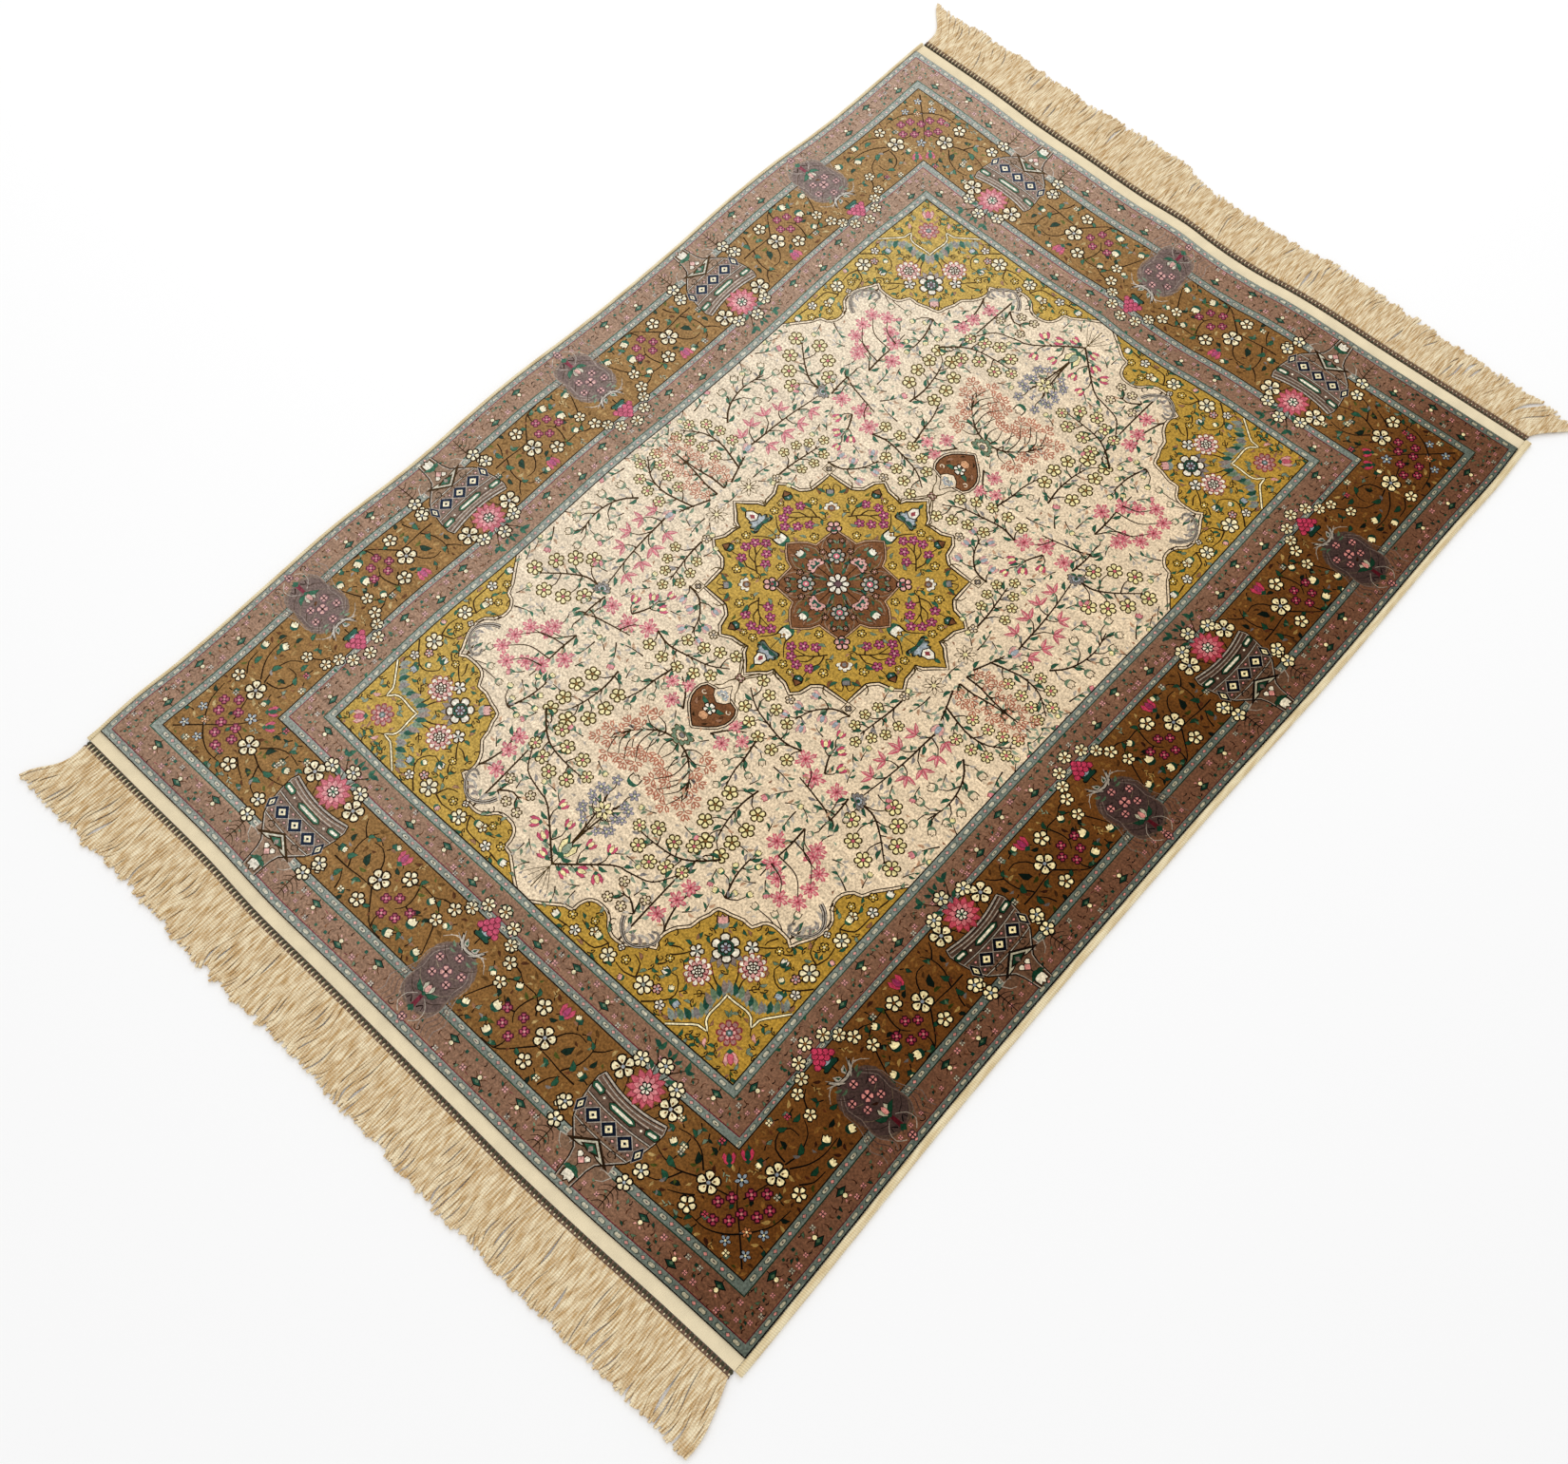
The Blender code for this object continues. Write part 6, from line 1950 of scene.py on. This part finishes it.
def kilimMaterial():
    # plain weave: fine wefts across, warps along, painted shade where the threads dip, and the uneven tone
    # of old silk
    material, tree, shader = newMaterial("kilimSilk", 0.7, sheen=0.2)
    place = addNode(tree, "ShaderNodeTexCoord", (-1100, 0))
    wefts = addNode(tree, "ShaderNodeTexWave", (-900, -200), {"wave_type": "BANDS", "bands_direction": "Y"},
                    Scale=260.0, Distortion=1.5, Detail=1.0)
    warps = addNode(tree, "ShaderNodeTexWave", (-900, -500), {"wave_type": "BANDS", "bands_direction": "X"},
                    Scale=140.0, Distortion=1.0, Detail=1.0)
    blotch = addNode(tree, "ShaderNodeTexNoise", (-900, 200), None, Scale=45.0, Detail=5.0)
    shade = addNode(tree, "ShaderNodeMapRange", (-600, 200), None, To_Min=0.8, To_Max=1.15)
    thread = addNode(tree, "ShaderNodeMath", (-600, -300), {"operation": "MULTIPLY"})
    # painted shade: darker where the threads dip, in step with the bump
    bands = addNode(tree, "ShaderNodeMapRange", (-400, -300), None, To_Min=0.9, To_Max=1.05)
    both = addNode(tree, "ShaderNodeMath", (-400, 100), {"operation": "MULTIPLY"})
    tint = addNode(tree, "ShaderNodeVectorMath", (-200, 100), {"operation": "SCALE"})
    tint.inputs[0].default_value = linear("EEDDB8")[:3]
    bump = addNode(tree, "ShaderNodeBump", (-200, -300), None, Strength=0.5, Distance=0.0003)
    for texture in (wefts, warps, blotch):
        wire(tree, (place, "Object", texture, "Vector"))
    wire(tree, (wefts, "Fac", thread, 0), (warps, "Fac", thread, 1), (thread, 0, bands, "Value"),
         (blotch, "Fac", shade, "Value"), (shade, 0, both, 0), (bands, 0, both, 1),
         (both, 0, tint, "Scale"), (thread, 0, bump, "Height"), (tint, 0, shader, "Base Color"),
         (bump, 0, shader, "Normal"))
    return material


def stitchMaterial(name, colour, roughness=0.6):
    material, tree, shader = newMaterial(name, roughness, sheen=0.3, specular=0.3)
    place = addNode(tree, "ShaderNodeTexCoord", (-1100, 0))
    strands = addNode(tree, "ShaderNodeTexWave", (-900, -200),
                      {"wave_type": "BANDS", "bands_direction": "DIAGONAL"}, Scale=420.0,
                      Distortion=2.0, Detail=1.0)
    blotch = addNode(tree, "ShaderNodeTexNoise", (-900, 100), None, Scale=240.0, Detail=3.0)
    shade = addNode(tree, "ShaderNodeMapRange", (-600, 100), None, To_Min=0.6, To_Max=1.4)
    tint = addNode(tree, "ShaderNodeVectorMath", (-300, 100), {"operation": "SCALE"})
    tint.inputs[0].default_value = linear(colour)[:3]
    bump = addNode(tree, "ShaderNodeBump", (-300, -200), None, Strength=0.5, Distance=0.0003)
    wire(tree, (place, "Object", strands, "Vector"), (place, "Object", blotch, "Vector"),
         (blotch, "Fac", shade, "Value"), (shade, 0, tint, "Scale"), (tint, 0, shader, "Base Color"),
         (strands, "Fac", bump, "Height"), (bump, 0, shader, "Normal"))
    return material


# Fringe and heading of each end. Columns: along the end, reach, lean of the tip, sway of the middle.
fringe = {"locks": 148, "cordsPerLock": 5, "cordThickness": 3.2, "stations": 9, "wiggle": 1.8,
          "seed": 41, "waveSize": 22.0, "lengthJitter": 3.0, "tipJitter": 2.2, "cordSpread": 1.36,
          "firstLock": 4.6, "tuckedUnder": 3.5,
          "near": ((0, 67, -25, -1.0), (60, 68, -9, 1.0), (150, 68, -5, 3.0), (300, 68, -4, -2.0),
                   (500, 66, -2, 2.0), (700, 70, 1, -2.0), (850, 72, 5, 1.0), (940, 74, 8, 3.0),
                   (1000, 78, 19, 5.0)),
          "far": ((0, 62, -40, 0.0), (60, 64, -26, 0.0), (170, 68, -14, -2.0), (300, 71, -4, -5.0),
                  (420, 73, -2, -5.0), (460, 61, -2, -5.0), (560, 64, 0, -5.0), (700, 63, 3, -4.0),
                  (850, 57, 12, -2.0), (940, 54, 25, 0.0), (1000, 51, 42, 0.0))}


def endLine(end, outward, inset=0.0, count=120, lift=0.0):
    # a line along one end of the rug, so far outward from the pile and so high above the floor
    side = -1 if end == "near" else 1
    across = np.linspace(inset, rug["width"] - inset, count)
    y = side * (rug["length"] / 2 + wander(end + "Edge", across) + outward)
    return np.stack([(across - rug["width"] / 2) * mm, y * mm, np.full(count, lift * mm)], axis=1)


def fringeCords(end, tree, material):
    side = -1 if end == "near" else 1
    kilim = rug[end + "Kilim"]
    draw = np.random.default_rng(fringe["seed"] + side)
    roots = np.linspace(fringe["firstLock"], rug["width"] - fringe["firstLock"], fringe["locks"])
    reach, lean, sway = smoothTable(fringe[end], roots)
    top = rug["length"] / 2 + wander(end + "Edge", roots) + kilim + rug["gap"] + heading["depth"]
    tucked = fringe["tuckedUnder"]
    t = np.linspace(0, 1, fringe["stations"])
    lines = []
    for k in range(fringe["locks"]):
        length = reach[k] + draw.uniform(-1, 1) * fringe["lengthJitter"]
        # neighbours wave together: two slow swells along the end
        swell = roots[k] / 1000 * 2 * math.pi
        swing = 4.6 * math.sin(9 * swell + 1.1) + 1.6 * math.sin(23 * swell) + draw.uniform(-0.6, 0.6)
        twist = 5.0 * math.sin(14 * swell + 0.4) + 1.2 * math.sin(37 * swell)
        for j in range(fringe["cordsPerLock"]):
            spread = (j - (fringe["cordsPerLock"] - 1) / 2) * fringe["cordSpread"] + draw.uniform(-0.4, 0.4)
            tip = lean[k] + draw.uniform(-1, 1) * fringe["tipJitter"]
            wave = draw.uniform(-1.0, 1.0)
            phase = draw.uniform(0, 2 * math.pi)
            x = roots[k] + spread * (0.85 + 0.5 * t) + tip * t ** 1.3 + sway[k] * 4 * t * (1 - t)
            x = (x + swing * np.sin(math.pi * t) + twist * np.sin(2 * math.pi * t) * t
                 + wave * np.sin(phase + 2.2 * math.pi * t) * t)
            run = length + draw.uniform(-1, 1) * fringe["lengthJitter"]
            y = side * (top[k] - tucked + (run + tucked) * t)
            layer = draw.uniform(0.0, 1.0)
            z = (fringe["cordThickness"] / 2 + 0.2 + (1.0 + 1.7 * layer) * np.clip(1.25 - t, 0, 1)
                 * (0.55 + 0.45 * np.cos(3.5 * t + phase) ** 2))
            lines.append(np.stack([(x - rug["width"] / 2) * mm, y * mm, z * mm], axis=1))
    return grow(end + "Cords", lines, tree, {
        "Material": material, "Thickness": fringe["cordThickness"] * mm, "Stations": fringe["stations"],
        "Wiggle": fringe["wiggle"] * mm, "Wave Size": fringe["waveSize"]})


# The twined rows, the pale bars that cross them and the loops that the cords hang from.
# Columns: name, place outward, lift, size of a stitch, its slant, shift in pitches and silk.
heading = {"depth": 11.5, "inset": 2.0, "pitch": 5.7, "baseHeight": 2.4, "baseLift": 1.3,
           "near": (("Olive", 2.8, 2.1, (2.7, 3.0, 1.7), 0.22, 0.0, "olive"),
                    ("Brown", 8.2, 2.1, (2.7, 3.2, 1.7), -0.22, 0.0, "brown"),
                    ("Bars", 5.9, 2.3, (0.95, 5.2, 1.3), 0.0, 0.5, "cream"),
                    ("Loops", 11.4, 2.2, (2.1, 2.3, 1.6), 0.0, 0.5, "cream")),
           "far": (("Olive", 1.9, 2.1, (2.7, 1.9, 1.7), 0.22, 0.0, "olive"),
                   ("Brown", 7.0, 2.1, (2.7, 3.9, 1.7), -0.22, 0.0, "brown"),
                   ("Bars", 6.6, 2.3, (0.95, 5.2, 1.3), 0.0, 0.5, "cream"),
                   ("Loops", 11.4, 2.2, (2.1, 2.3, 1.6), 0.0, 0.5, "cream"))}


def headingPiece(end, trees, materials):
    kilim = rug[end + "Kilim"] + rug["gap"]
    inset, pitch, depth = heading["inset"], heading["pitch"], heading["depth"]
    base = endLine(end, kilim + depth / 2, inset, lift=heading["baseLift"])
    rows = [grow(end + "Base", [base], trees["roll"], {
        "Material": materials["brown"], "Width": depth * mm, "Height": heading["baseHeight"] * mm,
        "Pitch": pitch * mm, "Depth": 0.0, "Slant": 0.0, "Stations": 160, "Section Points": 12})]
    for name, outward, lift, size, slant, shift, silkName in heading[end]:
        line = endLine(end, kilim + outward, inset, lift=lift)
        rows.append(grow(end + name, [line], trees["stitch"], {
            "Material": materials[silkName], "Pitch": pitch * mm, "Size": [side * mm for side in size],
            "Slant": slant, "Shift": shift * pitch * mm}))
    return joined("heading" + end.title(), rows)


# The overcast sides: their widths, and the roll's height, middle and winding.
selvedge = {"leftWidth": 5.0, "rightWidth": 9.2, "height": 4.4, "middle": 2.5, "pitch": 3.2,
            "depth": 0.28, "slant": 0.55, "stations": 1400}


def selvedgePiece(name, side, width, tree, material):
    edge = "leftEdge" if side < 0 else "rightEdge"
    along = np.linspace(-rug["nearKilim"], rug["length"] + rug["farKilim"], 160)
    x = side * (rug["width"] / 2 + wander(edge, np.clip(along, 0, rug["length"])) + rug["gap"] + width / 2)
    middle = np.full(len(along), selvedge["middle"] * mm)
    line = np.stack([x * mm, (along - rug["length"] / 2) * mm, middle], axis=1)
    return grow(name, [line], tree, {
        "Material": material, "Width": width * mm, "Height": selvedge["height"] * mm,
        "Pitch": selvedge["pitch"] * mm, "Depth": selvedge["depth"] * mm, "Slant": selvedge["slant"],
        "Stations": selvedge["stations"]})


def foundationPiece():
    stations = 60
    u = np.linspace(0, rug["width"], stations)
    v = np.linspace(0, rug["length"], stations)
    near = [(x, -rug["nearKilim"]) for x in u]
    far = [(x, rug["length"] + rug["farKilim"]) for x in u[::-1]]
    right = [(rug["width"], y) for y in v[1:-1]]
    left = [(0.0, y) for y in v[1:-1][::-1]]
    outline = np.array(near + right + far + left)
    x, y = warpCartoon(outline[:, 0], outline[:, 1])
    shape = bmesh.new()
    bottom = [shape.verts.new((a, b, 0.0)) for a, b in zip(x, y)]
    top = [shape.verts.new((a, b, rug["foundationTop"] * mm)) for a, b in zip(x, y)]
    shape.faces.new(bottom[::-1])
    shape.faces.new(top)
    for k in range(len(top)):
        after = (k + 1) % len(top)
        shape.faces.new((bottom[k], bottom[after], top[after], top[k]))
    bmesh.ops.triangulate(shape, faces=shape.faces)
    bmesh.ops.recalc_face_normals(shape, faces=shape.faces)
    mesh = bpy.data.meshes.new("foundation")
    shape.to_mesh(mesh)
    shape.free()
    return linkMesh("foundation", mesh, [kilimMaterial()])


setStage()
pilePieces = weaveGround()
foundation = foundationPiece()
cords = cordTree()
stitches = stitchTree()
roll = overcastTree()
fringeSilk = threadMaterial("fringeSilk", "F8E8C4", "C49E66", 0.5, 0.2)
selvedgeSilk = threadMaterial("selvedgeSilk", "F0E0B8", "D8C090", 0.6, 0.3, twist=2400.0, noiseScale=30.0)
headingSilks = {"cream": stitchMaterial("headingCream", "EADBB4"),
                "olive": stitchMaterial("headingOlive", "3A3620"),
                "brown": stitchMaterial("headingBrown", "6E5340")}
fringePieces = {}
headingPieces = {}
for end in ("near", "far"):
    fringePieces[end] = fringeCords(end, cords, fringeSilk)
    headingPieces[end] = headingPiece(end, {"stitch": stitches, "roll": roll}, headingSilks)
    print(end, "fringe", len(fringePieces[end].data.polygons), "heading",
          len(headingPieces[end].data.polygons))
leftSelvedge = selvedgePiece("selvedgeLeft", -1, selvedge["leftWidth"], roll, selvedgeSilk)
rightSelvedge = selvedgePiece("selvedgeRight", 1, selvedge["rightWidth"], roll, selvedgeSilk)
print("selvedge", len(rightSelvedge.data.polygons))
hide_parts("woven_rug")
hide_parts("selvedge_left")
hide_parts("selvedge_right")
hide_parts("fringe_near")
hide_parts("fringe_far")
for piece in [foundation, *pilePieces]:
    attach(piece, "root")
for piece in (leftSelvedge, rightSelvedge):
    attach(piece, "root")
for piece in [*fringePieces.values(), *headingPieces.values()]:
    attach(piece, "root")
